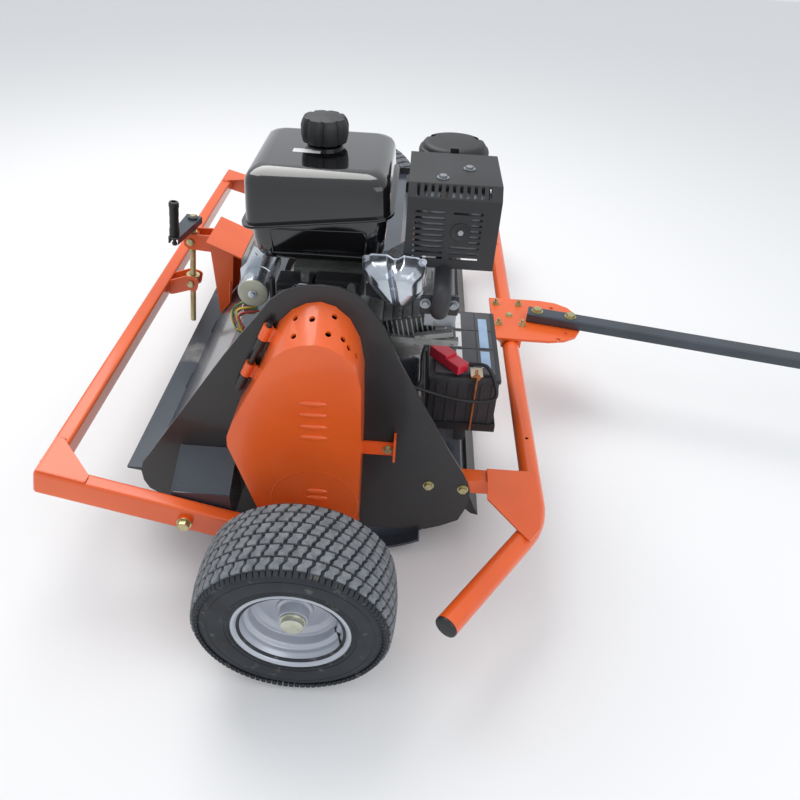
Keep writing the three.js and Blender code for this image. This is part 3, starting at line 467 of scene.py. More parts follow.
class Tree(Wire):
    """A geometry node tree with named inputs, whose last nodes make real geometry and give it its finish."""

    def __init__(self, name, sockets):
        self.group = bpy.data.node_groups.new(name, "GeometryNodeTree")
        self.group.interface.new_socket("Geometry", in_out="INPUT", socket_type="NodeSocketGeometry")
        self.group.interface.new_socket("Geometry", in_out="OUTPUT", socket_type="NodeSocketGeometry")
        self.names = {}
        for label, kind in sockets.items():
            made = self.group.interface.new_socket(label, in_out="INPUT", socket_type="NodeSocket" + kind)
            self.names[label] = made.identifier
        super().__init__(self.group)
        self.given = self.group.nodes.new("NodeGroupInput")

    def value(self, label):
        return Wire(self.tree, self.given.outputs[label])

    def end(self, geometry):
        real = self.node("GeometryNodeRealizeInstances", inputs={"Geometry": geometry})
        real = self.node("GeometryNodeSetMaterial", inputs={"Geometry": real,
                                                            "Material": self.value("Finish")})
        done = self.group.nodes.new("NodeGroupOutput")
        self.tree.links.new(real.socket, done.inputs["Geometry"])

    def grow(self, values):
        """The plain shape, in millimetres, that the tree makes from these values."""
        host = bpy.data.objects.new("host", bpy.data.meshes.new("host"))
        bpy.context.collection.objects.link(host)
        grower = host.modifiers.new("grow", "NODES")
        grower.node_group = self.group
        for label, value in values.items():
            grower[self.names[label]] = value
        host.update_tag()
        ready = host.evaluated_get(bpy.context.evaluated_depsgraph_get())
        mesh = bpy.data.meshes.new_from_object(ready)
        host.modifiers.remove(grower)
        bpy.data.objects.remove(host)
        bm = bmesh.new()
        bm.from_mesh(mesh)
        bpy.data.meshes.remove(mesh)
        return bm


def pattern(bm, name):
    """An object that a tree copies from. It is removed once the tree has been grown."""
    mesh = bpy.data.meshes.new(name)
    bm.to_mesh(mesh)
    bm.free()
    made = bpy.data.objects.new(name, mesh)
    bpy.context.collection.objects.link(made)
    return made


tread = Tree("tread", {"Block": "Object", "Rows": "Int", "Blocks": "Int", "Radius": "Float", "Pitch": "Float",
                       "Crown": "Float", "Finish": "Material"})
index = tread.node("GeometryNodeInputIndex")
row = tread.maths("FLOOR", index / tread.value("Blocks"))
middle_row = (tread.value("Rows") - 1) * 0.5
across = (row - middle_row) * tread.value("Pitch")
step = (index - row * tread.value("Blocks")) + tread.maths("MODULO", row, 2.0) * 0.5
angle = step * math.tau / tread.value("Blocks")
reach = tread.value("Radius") - tread.value("Crown") * (row - middle_row) * (row - middle_row)
spot = tread.node("ShaderNodeCombineXYZ", inputs={"X": tread.maths("COSINE", angle) * reach, "Y": across,
                                                  "Z": tread.maths("SINE", angle) * reach})
tilt = (middle_row - row) * tread.value("Crown") * 2.2 / tread.value("Pitch")
aim = tread.node("ShaderNodeCombineXYZ", inputs={"X": tilt, "Y": math.pi / 2 - angle})
dots = tread.node("GeometryNodePoints", inputs={"Count": tread.value("Rows") * tread.value("Blocks"),
                                                "Position": spot})
block = tread.node("GeometryNodeObjectInfo", inputs={"Object": tread.value("Block")}, output="Geometry")
tread.end(tread.node("GeometryNodeInstanceOnPoints", inputs={"Points": dots, "Instance": block,
                                                             "Rotation": aim}))

tyre_rubber = finish("tyre_rubber", ((42, 46, 52), (33, 36, 41)), 0.72, blotch=14, grain=900, relief=0.35,
                     marks=((84, 84, 82), 40, (1, 1, 1), 0.62))
tread_rubber = finish("worn_tread_rubber", ((126, 130, 134), (100, 104, 109)), 0.85, blotch=60, grain=1400,
                      relief=0.5, marks=((52, 55, 60), 500, (1, 1, 1), 0.60))
rim_paint = finish("silver_wheel_paint", ((188, 192, 200), (174, 180, 190)), 0.34, metal=0.35, coat=0.25,
                   blotch=8, grain=1800, relief=0.08)
yellow_zinc = finish("yellow_zinc_plate", ((205, 196, 152), (176, 170, 128)), 0.36, metal=0.85, blotch=45,
                     grain=900, relief=0.15, marks=((120, 118, 96), 180, (1, 1, 1), 0.66))
pale_zinc = finish("pale_zinc_plate", ((214, 214, 198), (190, 190, 172)), 0.36, metal=0.85, blotch=40,
                   grain=900, relief=0.15)
black_plastic = finish("black_moulding", ((34, 34, 36), (27, 27, 29)), 0.48, blotch=20, grain=1600,
                       relief=0.3)
TYRE_R, TREAD_ROWS, TREAD_BLOCKS, SHOULDER_R = 203, 6, 49, 207.4
for side, way in (("right", -1), ("left", 1)):
    middle = way * -RIGHT_WHEEL_Y
    node_rim, node_tyre = "wheel_rim_" + side, "tyre_" + side
    carcass = smooth_line([(101, -74), (112, -78), (128, -82), (150, -85), (172, -83), (186, -76), (193, -64),
                           (195.5, -40), (196.5, 0), (195.5, 40), (193, 64), (186, 76), (172, 83), (150, 85),
                           (128, 82), (112, 78), (101, 74)], 5)
    carcass += [(112, 60), (150, 66), (176, 50), (176, -50), (150, -66), (112, -60)]
    zigzag = [(-12.6, -11.4), (5.6, -11.4), (5.6, -3.5), (12.6, 3.5), (12.6, 11.4), (-5.6, 11.4), (-5.6, 3.5),
              (-12.6, -3.5)]
    template = pattern(soften(prism(zigzag, "z", -8.5, 0), 0.7, segments=1), "tread_block")
    lugs = tread.grow({"Block": template, "Rows": TREAD_ROWS, "Blocks": TREAD_BLOCKS, "Radius": TYRE_R - 0.4,
                       "Pitch": 26.6, "Crown": 0.9, "Finish": tread_rubber})
    bpy.data.objects.remove(template)
    shoulder = pattern(soften(prism([(-5, -10), (5, -10), (5, 10), (-5, 10)], "z", -7, 0.6), 1, segments=1),
                       "shoulder_lug")
    shoulders = tread.grow({"Block": shoulder, "Rows": 2, "Blocks": TREAD_BLOCKS * 2, "Radius": SHOULDER_R,
                            "Pitch": 157, "Crown": 70, "Finish": tyre_rubber})
    bpy.data.objects.remove(shoulder)
    wheel_at = Matrix.Translation((0, middle, AXLE_Z))
    make(node_tyre + "_tread", [moved(lugs, wheel_at)], tread_rubber, body_of_node[node_tyre])
    ribs = [spun([(r - 1.5, way * y), (r - 1.5, way * (y + 1.6)), (r + 1.5, way * (y + 1.6)),
                  (r + 1.5, way * y)], 0, 0) for r, y in ((124, 80.6), (131, 82.0), (163, 83.6))]
    remake(node_tyre, tyre_rubber, [moved(bm, wheel_at) for bm in (spun(carcass, 0, 0, 128), shoulders,
                                                                   *ribs)])
    barrel = [(118, 80), (114.5, 82), (110, 79.5), (105, 73), (101, 66), (98.5, 60), (98.5, 55), (96.5, 52),
              (90.5, 49), (88.5, 45), (88.5, 31), (86, 27.5), (80, 26), (71, 21), (66, 18.5), (40, 20),
              (37, 23), (36, 27), (31, 28.5), (29.5, 31), (29.5, 49), (27, 51.5), (13.4, 51.5)]
    back = [(13.4, -81), (24, -81), (24, 16), (64, 15), (84, 22), (85, -50), (95, -66), (104, -76),
            (114, -82), (118, -80)]
    outline = [(r, way * y) for r, y in [*smooth_line(barrel[:-1], 3), barrel[-1], *back, (116.5, -77),
                                         (106, -71), (99, -62), (92, -47), (92, 40), (101, 56), (107, 69),
                                         (116.5, 77)]]
    remake(node_rim, rim_paint, [moved(spun(outline, 0, 0, 112), wheel_at)])
    lean = Matrix.Rotation(math.radians(20 if way < 0 else 200), 4, "Y")
    out_of_rim = Matrix.Translation((92, way * 38, 0)) @ Matrix.Rotation(math.radians(-20 * way), 4, "Z")
    stem = [(7, 0), (7, 9), (4.2, 11), (3.6, 24), (4.0, 26), (4.0, 40), (3.2, 42), (0.01, 42)]
    valve = spun([(0.01, 0), *stem], 0, 0, 20)
    valve_at = wheel_at @ lean @ out_of_rim
    if way < 0:
        valve_at = valve_at @ Matrix.Rotation(math.pi, 4, "Z")
    make("valve_stem_" + side, [moved(valve, valve_at)], black_plastic, body_of_node[node_rim])
    head = [(0.01, way * 68), (20, way * 68), (22.5, way * 66.4), (22.5, way * 56), (26, way * 55.6),
            (26, way * 52.3), (12.5, way * 52.3), (12.5, way * -82.3), (20, way * -82.3), (20, way * -172.7),
            (12.5, way * -172.7), (12.5, way * -208), (0.01, way * -208)]
    remake("axle_bolt_" + side, pale_zinc, [moved(spun(head, 0, 0, 48), wheel_at)])


# ---- Deck ----
# The flail chamber is a folded steel shell in dark blue-grey paint, welded between two side plates in satin
# black. The plates carry the rotor's bearings, the skids and the folded brackets for the wheel frame's
# pivots.
def hexagon_head(at, aim, radius, height, washer=0.0, shank=0.0):
    """A hexagon head with an optional washer and shank. aim points out of the piece."""
    shapes = [soften(prism(disc(radius, 6), "z", 1.2 if washer else 0, height), min(radius * 0.1, 1.2))]
    if washer:
        shapes.append(soften(prism(disc(washer, 32), "z", 0, 1.6), 0.3))
    if shank:
        shapes.append(prism(disc(radius * 0.5, 20), "z", -shank, 1))
    turned = Matrix.Translation(at) @ Vector(aim).to_track_quat("Z", "Y").to_matrix().to_4x4()
    return [moved(bm, turned) for bm in shapes]


def bolts(places, aim, radius, height, washer=0.0, shank=0.0):
    """Hexagon heads alike at several places."""
    return [bm for at in places for bm in hexagon_head(at, aim, radius, height, washer, shank)]


def drilled(bm, tools):
    """The shape with other shapes cut away from it."""
    objects = []
    for part in (bm, tools):
        mesh = bpy.data.meshes.new("cut")
        part.to_mesh(mesh)
        part.free()
        objects.append(bpy.data.objects.new("cut", mesh))
        bpy.context.collection.objects.link(objects[-1])
    cutter = objects[0].modifiers.new("cut", "BOOLEAN")
    cutter.operation = "DIFFERENCE"
    cutter.solver = "EXACT"
    cutter.object = objects[1]
    ready = objects[0].evaluated_get(bpy.context.evaluated_depsgraph_get())
    mesh = bpy.data.meshes.new_from_object(ready)
    for item in objects:
        bpy.data.objects.remove(item)
    made = bmesh.new()
    made.from_mesh(mesh)
    bpy.data.meshes.remove(mesh)
    return made


def rod(start, end, radius, sides=28):
    """A straight round bar."""
    return round_bar([start, end], radius, sides)


copies = Tree("copies", {"Piece": "Object", "Count": "Int", "Step": "Vector", "Turn": "Vector",
                         "Finish": "Material"})
index = copies.node("GeometryNodeInputIndex")
spot = copies.node("ShaderNodeVectorMath", {"operation": "SCALE"}, {"Vector": copies.value("Step"),
                                                                    "Scale": index})
aim = copies.node("ShaderNodeVectorMath", {"operation": "SCALE"}, {"Vector": copies.value("Turn"),
                                                                   "Scale": index})
dots = copies.node("GeometryNodePoints", inputs={"Count": copies.value("Count"), "Position": spot})
piece = copies.node("GeometryNodeObjectInfo", inputs={"Object": copies.value("Piece")}, output="Geometry")
copies.end(copies.node("GeometryNodeInstanceOnPoints", inputs={"Points": dots, "Instance": piece,
                                                               "Rotation": aim}))


def repeated(bm, count, look, step=(0, 0, 0), turn=(0, 0, 0)):
    """A shape copied in a row or a ring, each copy one more step and one more turn from the first."""
    template = pattern(bm, "repeated")
    grown = copies.grow({"Piece": template, "Count": count, "Step": [float(c) for c in step],
                         "Turn": [float(c) for c in turn], "Finish": look})
    bpy.data.objects.remove(template)
    return grown


black_paint = finish("black_satin_paint", ((36, 36, 38), (29, 29, 31)), 0.36, coat=0.2, blotch=6, grain=700,
                     relief=0.1, marks=((88, 88, 86), 70, (1, 1, 3), 0.70))
deck_paint = finish("dark_blue_grey_paint", ((58, 66, 76), (47, 54, 63)), 0.26, coat=0.45, blotch=4,
                    grain=500, relief=0.06, marks=((92, 98, 102), 26, (1, 1, 1), 0.72))
worn_slate = finish("scuffed_slate_paint", ((62, 70, 80), (50, 57, 66)), 0.34, metal=0.2, coat=0.25, blotch=6,
                    grain=620, relief=0.1, marks=((150, 150, 146), 32, (1, 1, 1), 0.74))
bare_strip = finish("worn_deflector_steel", ((64, 72, 82), (52, 59, 68)), 0.34, metal=0.2, blotch=5,
                    grain=500, relief=0.12, marks=((150, 150, 146), 3.2, (1, 1, 1), 0.50))
PLATE_FACE, ROTOR_X, ROTOR_Z, BEARING_BOLTS_R = 744, 5, 235, 48
PIVOT_X, PIVOT_Z = -275, 214
roof_bolt = gathered(hexagon_head((-320, -640, 323.5), (-0.777, 0, 0.629), 8, 6, 11))
remake("deck_shell", deck_paint, edge=1.4, extra=[repeated(roof_bolt, 3, deck_paint, step=(0, 640, 0))])
remake("rear_deflector", bare_strip, edge=0.8, extra=[bead((-403, y, 221.5), (-403, y + 60, 221.5), 2.4)
                                                      for y in (-700, -420, -140, 140, 420, 640)])
remake("front_flap", black_plastic, edge=0.8)
for side, way in (("right", -1), ("left", 1)):
    corner_bolts = [(x, way * PLATE_FACE, z) for x, z in ((260, 234), (341, 229), (-201, 204))]
    bearing_bolts = [(ROTOR_X + BEARING_BOLTS_R * math.cos(t), way * (PLATE_FACE + 4),
                      ROTOR_Z + BEARING_BOLTS_R * math.sin(t)) for t in (0.8 + k * math.pi / 2
                                                                         for k in range(4))]
    bearing = ((18.9, 0.2), (18.9, 8), (30, 10), (34, 6), (58, 4), (60, 0.2))
    flange = [(r, way * (PLATE_FACE + h)) for r, h in bearing]
    remake("side_plate_" + side, black_paint, edge=1.0, extra=[spun(flange, ROTOR_X, ROTOR_Z, 48)])
    heads = bolts(corner_bolts, (0, way, 0), 10, 8, 13) + bolts(bearing_bolts, (0, way, 0), 7, 6, 9)
    make("side_plate_bolts_" + side, heads, yellow_zinc, "deck")
    remake("skid_" + side, worn_slate, edge=1.2)
    inner = way * (PLATE_FACE + 1)
    remake("pivot_bracket_" + side, deck_paint, edge=1.6, extra=[bead((-311, inner, 180), (-311, inner, 306),
                                                                      3),
                                                                 bead((-181, inner, 180), (-181, inner, 306),
                                                                      3),
                                                                 soften(prism([(inner, 311.5),
                                                                               (way * 847, 261.5),
                                                                               (way * 847, 258),
                                                                               (inner, 308)], "x", -310,
                                                                              -182), 0.8)])
    bolt_end, nut_face = way * (FRAME_HALF + 8.3), way * (FRAME_HALF - BAR_WIDE - 8.3)
    shank = rod((PIVOT_X, way * (FRAME_HALF - BAR_WIDE - 23), PIVOT_Z), (PIVOT_X, way * (FRAME_HALF + 9),
                                                                         PIVOT_Z), 8)
    remake("pivot_bolt_" + side, yellow_zinc, [
        shank, *hexagon_head((PIVOT_X, bolt_end, PIVOT_Z), (0, way, 0), 14, 12.5, 17),
        *hexagon_head((PIVOT_X, nut_face, PIVOT_Z), (0, -way, 0), 14, 12, 17)])


# ---- Belt drive ----
# A pressed steel guard in orange covers the belt on the machine's right. It lifts off two fixed pins, and
# behind it a rubber belt drives the flail rotor's cast pulley from the engine's.
VENT_R, ARCH_X, ARCH_Z, FACE_Y = 6, 16, 590, -834


def vent(angle, y):
    """A round cutter that points out through the guard's arch."""
    run = Vector((math.sin(math.radians(angle)), 0, math.cos(math.radians(angle))))
    middle = Vector((ARCH_X, y, ARCH_Z))
    return rod(middle + run * 40, middle + run * 170, VENT_R)


vents = [(-27, -768), (-7, -780), (16, -766), (-30, -808), (14, -806), (34, -800), (46, -806), (64, -800)]
cover = drilled(soften(of_node("belt_guard"), 2.0, segments=3), gathered([vent(angle, y)
                                                                          for angle, y in vents]))
louvres = [(-20, 37, z) for z in (529, 500, 469, 440)] + [(-12, 35, z) for z in (283, 262)]
ribs = []
for a, b, z in louvres:
    bm = bmesh.new()
    size = Matrix.Diagonal(((b - a) / 2, 6, 7, 1))
    bmesh.ops.create_uvsphere(bm, u_segments=28, v_segments=16, radius=1,
                              matrix=Matrix.Rotation(math.pi / 2, 4, "Y"))
    ribs.append(moved(bm, Matrix.Translation(((a + b) / 2, FACE_Y, z)) @ size))
arc = spun([(93, FACE_Y + 0.5), (95, FACE_Y - 0.5), (97, FACE_Y - 0.5), (99, FACE_Y + 0.5)], 5, 245)
remake("belt_guard", orange, [cover, arc, *ribs])
make("guard_latch_bolt", hexagon_head((161, -750.3, 344), (0, -1, 0), 8, 7, 12), yellow_zinc, "guard")
remake("guard_hinge_rod", black_paint, edge=0.8)
cast_iron = finish("cast_grey_metal", ((112, 114, 116), (92, 94, 97)), 0.5, metal=0.7, blotch=30, grain=900,
                   relief=0.5, marks=((70, 66, 60), 60, (1, 1, 1), 0.66))
worn_steel = finish("worn_flail_steel", ((104, 98, 92), (82, 74, 68)), 0.5, metal=0.8, blotch=18, grain=500,
                    relief=0.4, marks=((120, 72, 44), 34, (1, 1, 1), 0.58))
belt_rubber = finish("belt_rubber", ((38, 38, 38), (28, 28, 29)), 0.8, blotch=30, grain=1600, relief=0.5)
BELT_Y = -792
for node, x, z, radius, bore in (("drive_pulley", 10, 556, 60, 13), ("driven_pulley", ROTOR_X, ROTOR_Z, 86,
                                                                     18.4)):
    groove = [(radius - 1, -13), (radius, -12), (radius - 12, -6), (radius - 12, 6), (radius, 12),
              (radius - 1, 13)]
    hub = [(bore + 9, 13), (bore, 12.9), (bore, -12.9), (bore + 9, -13), (bore + 12, -9), (radius - 20, -9)]
    turned = [(r, BELT_Y + y) for r, y in [*groove, (radius - 20, 9), (bore + 12, 9), *hub]]
    remake(node, cast_iron, [spun(turned, x, z)])
remake("drive_belt", belt_rubber, edge=0.8)
remake("rotor", worn_steel, edge=1.4)


# ---- Front tube ----
# A bent round tube pushes tall growth over ahead of the deck. Two links tie it to the side plates, flat
# gussets brace its corners and plastic caps close its ends.
def bent(points, bend, steps=8):
    """An open line of points with its corners rounded."""
    line = [Vector(p) for p in points]
    path = [line[0]]
    for before, at, after in zip(line, line[1:], line[2:]):
        start, end = at + (before - at).normalized() * bend, at + (after - at).normalized() * bend
        path += [start.lerp(at, k / steps).lerp(at.lerp(end, k / steps), k / steps) for k in range(steps + 1)]
    return path + [line[-1]]


black_cap = finish("black_end_cap", ((36, 36, 38), (28, 28, 30)), 0.42, blotch=30, grain=1200, relief=0.25)
TUBE_X, TUBE_Z, TUBE_R, TUBE_BEND, TUBE_END = 503, 232, 24.15, (503, 839), (299, 1116)
route = [(TUBE_END[0], -TUBE_END[1], TUBE_Z), (TUBE_BEND[0], -TUBE_BEND[1], TUBE_Z),
         (TUBE_BEND[0], TUBE_BEND[1], TUBE_Z), (TUBE_END[0], TUBE_END[1], TUBE_Z)]
past = [(TUBE_END[0] - 6, -TUBE_END[1] - 8.1, TUBE_Z), *route[1:3], (TUBE_END[0] - 6, TUBE_END[1] + 8.1,
                                                                     TUBE_Z)]
whole = drilled(round_bar(bent(route, 60), TUBE_R, 44), round_bar(bent(past, 60), TUBE_R - 3, 32))
small_holes = gathered([rod((TUBE_X, y, TUBE_Z + 10), (TUBE_X, y, TUBE_Z + 30), 4.5) for y in (515, -577)])
remake("front_tube", orange, [drilled(whole, small_holes)])
for side, way in (("right", -1), ("left", 1)):
    heading = math.atan2(way * (TUBE_END[1] - TUBE_BEND[1]), TUBE_END[0] - TUBE_BEND[0]) - math.pi / 2
    outward = Matrix.Translation((TUBE_END[0], way * TUBE_END[1], TUBE_Z)) @ Matrix.Rotation(heading, 4, "Z")
    cap = [(0.01, 7), (20, 7), (23, 5.4), (24, 3), (24, 0.4), (20, 0.4), (19.6, -19), (18, -20), (0.01, -20)]
    remake("tube_cap_" + side, black_cap, [moved(spun(cap, 0, 0, 48), outward)])
    remake("link_bar_" + side, orange, edge=1.4, extra=[bead((410, way * 704, 252.5), (468, way * 704, 252.5),
                                                             3), bead((410, way * 732, 252.5),
                                                                      (468, way * 732, 252.5), 3),
                                                        bead((484, way * 706, 256), (486, way * 800, 256),
                                                             3)])


# ---- Hitch ----
# A thick orange plate is clamped over the tube by two U-bolts, so it can be set to either side. The square
# drawbar is bolted on top of it, swung a little to the right, and ends in a pressed coupler for a tow ball.
PLATE_TOP = TUBE_Z + TUBE_R + 0.3 + 8
HITCH_Y, DRAWBAR_X, DRAWBAR_YAW, DRAWBAR_LONG, LOCK_AT = -20, 585, math.radians(-11.9), 1120, 101
remake("hitch_plate", orange, edge=1.0)
make("hitch_centre_bolt", hexagon_head((504, -5, PLATE_TOP), (0, 0, 1), 9, 7, 12), yellow_zinc, "hitch")
U_BOLT_R = 36
for node, y in (("clamp_bolt_right", HITCH_Y - 38), ("clamp_bolt_left", HITCH_Y + 82)):
    bow = [(TUBE_X + U_BOLT_R * math.cos(t), y, TUBE_Z + U_BOLT_R * math.sin(t))
           for t in (math.pi + math.pi * k / 24 for k in range(25))]
    legs = [(TUBE_X - U_BOLT_R, y, PLATE_TOP + 18), *bow, (TUBE_X + U_BOLT_R, y, PLATE_TOP + 18)]
    nuts = bolts([(x, y, PLATE_TOP + 0.3) for x in (TUBE_X - U_BOLT_R, TUBE_X + U_BOLT_R)], (0, 0, 1), 9.5, 9,
                 12)
    remake(node, yellow_zinc, [round_bar(legs, 5, 20), *nuts])
IN_DRAWBAR = (Matrix.Translation((DRAWBAR_X, HITCH_Y, PLATE_TOP + 0.3))
              @ Matrix.Rotation(DRAWBAR_YAW, 4, "Z"))
bar = moved(tube(DRAWBAR_LONG + 28, 50, 30, 3, 6), Matrix.Translation((-28, 0, 15)))
lock_holes = gathered([rod((x, 0, -2), (x, 0, 32), 8.4) for x in (0, LOCK_AT)])
remake("drawbar", worn_slate, [moved(drilled(bar, lock_holes), IN_DRAWBAR)])
for node, x in (("drawbar_pivot_bolt", 0), ("drawbar_lock_bolt", LOCK_AT)):
    shapes = [rod((x, 0, -18), (x, 0, 31), 8), *hexagon_head((x, 0, 30.3), (0, 0, 1), 14, 10, 18),
              *hexagon_head((x, 0, -8.8), (0, 0, -1), 14, 9.2)]
    remake(node, yellow_zinc, [moved(bm, IN_DRAWBAR) for bm in shapes])
remake("coupler", black_paint, edge=4.0)


# ---- Lift ----
# A folded mast on the deck carries a swivel block. The screw hangs in it, turned by a crank with a free-
# running plastic grip, and draws up a pinned nut on the wheel frame's crossbar to raise the deck.
remake("lift_mast", orange, edge=1.6, extra=[
    bead((-352, way * 64, 352), (-360, way * 64, 284), 2.8) for way in (-1, 1)])
IN_SCREW = Matrix.Translation((-469, 0, 455)) @ Matrix.Rotation(math.radians(7.33), 4, "Y")


def turned_piece(profile, steps=48):
    """A closed profile of (radius, height) turned about an upright line at the origin."""
    return moved(spun([(r, -h) for r, h in profile], 0, 0, steps), Matrix.Rotation(-math.pi / 2, 4, "X"))


remake("screw_swivel", orange, edge=1.4)
pins = [(0.01, 34), (9, 34), (11, 32.6), (11, 30.4), (6, 30), (6, 28.5), (0.01, 28.5)]
for name, body, drop in (("swivel_pin", "swivel", 0), ("nut_pin", "nut", -141.2)):
    for side, way in (("right", -1), ("left", 1)):
        pin = moved(spun([(r, way * y) for r, y in pins], 0, drop, 32), IN_SCREW)
        make(f"{name}_{side}", [pin], yellow_zinc, body)
remake("screw_nut", yellow_zinc, edge=1.4)
THREAD_FROM, THREAD_TO, THREAD_PITCH, THREAD_R, THREAD_DEEP = -290, -18, 5.94, 9, 1.5
THREAD_STEP, THREAD_SIDES = 1.25, 24
rings = []
for i in range(int((THREAD_TO - THREAD_FROM) / THREAD_STEP) + 1):
    z = THREAD_FROM + i * THREAD_STEP
    ring = []
    for k, t in enumerate(angles(THREAD_SIDES)):
        phase = (z / THREAD_PITCH - k / THREAD_SIDES) % 1
        r = THREAD_R - THREAD_DEEP * min(1, max(0, 2.6 * (1 - abs(2 * phase - 1)) - 0.8))
        ring.append((r * math.cos(t), r * math.sin(t), z))
    rings.append(ring)
plain_end = [(0.01, -20), (9, -20), (14, -23.6), (14, -16.4), (9, -16.2), (9, 16.2), (14, 16.4), (14, 23.6),
             (9, 24), (9, 71), (7, 74), (0.01, 74)]
remake("lift_screw", yellow_zinc, [moved(bm, IN_SCREW) for bm in (skin(rings), turned_piece(plain_end, 32))])
CRANK_X, CRANK_Y = -16.93, -124.86
remake("crank_arm", worn_slate, edge=1.2, extra=[
    moved(bm, IN_SCREW) for bm in hexagon_head((CRANK_X, CRANK_Y, 43), (0, 0, -1), 8, 7)])
hub_nut = [moved(bm, IN_SCREW) for bm in hexagon_head((0, 0, 64.3), (0, 0, 1), 13, 6)]
make("crank_hub_nut", hub_nut, worn_slate, "crank")
grip = [(5.8, 66.5), (13, 66.5), (13.9, 68), (13.9, 84), (12.6, 88), (12.4, 96), (13, 104), (12.4, 112),
        (12.4, 120), (13, 128), (12.6, 138), (12.8, 146), (13.9, 151), (13.9, 159), (12, 163), (6, 163.9),
        (5.8, 161)]
remake("crank_knob", black_plastic, [
    moved(turned_piece(grip), IN_SCREW @ Matrix.Translation((CRANK_X, CRANK_Y, 0)))])


# ---- Engine ----
# A single cylinder engine, die cast in aluminium, leans its finned cylinder to the front. A bright pressed
# shroud leads air over the fins, the starter lies to its rear and the recoil starter closes the machine's
# left side.
cast_alloy = finish("cast_aluminium", ((150, 152, 150), (128, 130, 129)), 0.42, metal=0.75, blotch=22,
                    grain=1000, relief=0.45, marks=((84, 82, 78), 44, (1, 1, 1), 0.64))
bright_zinc = finish("bright_zinc_sheet", ((206, 211, 218), (178, 185, 194)), 0.2, metal=0.92, blotch=12,
                     grain=700, relief=0.12, marks=((140, 146, 156), 16, (1, 1, 1), 0.62), spread=0.16)
grey_face = finish("grey_end_cap_paint", ((176, 176, 160), (160, 160, 146)), 0.4, metal=0.3, blotch=20,
                   grain=900, relief=0.15)
wire_looks = [finish(f"{hue}_wire_sleeve", (tone, [int(c * 0.86) for c in tone]), 0.45, blotch=60, grain=1500,
                     relief=0.1) for hue, tone in (("yellow", (216, 190, 50)), ("green", (50, 120, 70)),
                                                   ("red", (180, 40, 44)), ("purple", (98, 70, 150)))]
cover_bolts = [(x, -694.3, z) for x, z in ((-70, 455), (84, 455), (-84, 520), (94, 500))]
remake("engine_block", cast_alloy, edge=1.2, extra=bolts(cover_bolts, (0, -1, 0), 7, 6, 10))
ENGINE_X, ENGINE_Z = 10, 564
LEANING = Matrix.Translation((ENGINE_X, 0, ENGINE_Z - 10)) @ Matrix.Rotation(math.radians(-12), 4, "Y")
fin = soften(brick(136, 138.6, -697.5, -691, 4, 60), 0.6)
fins = repeated(fin, 11, cast_alloy, step=(10, 0, 0))
make("cylinder_fins", [moved(fins, LEANING)], cast_alloy, "deck")
# A thin black sheet just behind the fins is painted shade: it darkens the gaps between the fins, where the real
# casting is alloy in shadow.
painted_shade_behind_fins = brick(134, 242, -692, -690.9, 5, 59)
make("cylinder_fin_gaps", [moved(painted_shade_behind_fins, LEANING)], black_paint, "deck")
recoil = [(0.01, -340.5), (60, -340.5), (86, -343), (92, -350), (94, -366), (118, -368), (126, -374),
          (128, -384), (128, -419.5), (0.01, -419.5)]
shell = spun(recoil, ENGINE_X, ENGINE_Z, 96)
air_slots = repeated(brick(34, 82, -348, -330, -2.2, 2.2), 24, black_plastic, turn=(0, math.tau / 24, 0))
moved(air_slots, Matrix.Translation((ENGINE_X, 0, ENGINE_Z)))
remake("recoil_cover", black_plastic, [drilled(shell, air_slots)])
remake("recoil_handle", black_plastic, edge=1.6)
motor = [(0.01, -659), (26, -659), (30, -657.5), (32, -654), (32, -604), (31, -603), (31, -598), (32, -597),
         (32, -506), (30, -501), (24, -500), (24, -471), (22, -470), (0.01, -470)]
STARTER_X, STARTER_Z = -136, 665
solenoid = [(0.01, -640), (15, -640), (17, -638), (17, -542), (15, -540), (0.01, -540)]
remake("starter_motor", bright_zinc, [spun(motor, STARTER_X, STARTER_Z, 64), spun(solenoid, -150, 618, 40),
                                      soften(brick(-160, -128, -620, -560, 620, 660), 2)])
end_cap = [(0.01, -661), (8, -661), (9, -660), (9, -659.6), (27, -660.6), (30, -659), (31, -655.5),
           (30, -655.5), (0.01, -655.5)]
make("starter_end_cap", [spun(end_cap, STARTER_X, STARTER_Z, 56)], grey_face, "deck")
centre_bolt = hexagon_head((STARTER_X, -661, STARTER_Z), (0, -1, 0), 6, 5, 9)
make("starter_centre_bolt", centre_bolt, bright_zinc, "deck")
tab = [(-172, 650), (-134, 650), (-128, 704), (-116, 740), (-140, 742), (-158, 704), (-172, 690)]
tab_holes = [rod((x, -610, z), (x, -590, z), radius)
             for x, z, radius in ((-132, 728, 5), (-158, 676, 6), (-158, 660, 3), (-142, 658, 3))]
bracket = drilled(prism(fillet(tab, 5), "y", -603, -599), gathered(tab_holes))
make("starter_bracket", [soften(bracket, 0.5)], bright_zinc, "deck")
RIM_Y, DOME, VALLEY_X = -650, 52, 152
rim_line = fillet([(88, 754), (90, 726), (138, 667), (184, 663), (213, 704), (213, 746), (198, 764),
                   (168, 766), (152, 756), (136, 766), (104, 766)], 13, 7)
even_line = []
for start, end in zip(rim_line, rim_line[1:] + rim_line[:1]):
    steps = max(1, round(math.dist(start, end) / 2))
    even_line += [Vector(start).lerp(Vector(end), k / steps) for k in range(steps)]
centre = Vector((VALLEY_X, 716))
rings = []
for k in range(30):
    inward = k / 31
    lift = math.sqrt(1 - (1 - min(1, inward * 1.7)) ** 2)
    ring = []
    for point in even_line:
        x, z = point.lerp(centre, inward)
        groove = 13 * math.exp(-((x - VALLEY_X + 0.2 * (z - centre.y)) / 4) ** 2) * lift
        ring.append((x, RIM_Y - DOME * lift + groove, z))
    rings.append(ring)
rolled_edge = round_bar([(x, RIM_Y, z) for x, z in rim_line + rim_line[:1]], 2.2, 10)
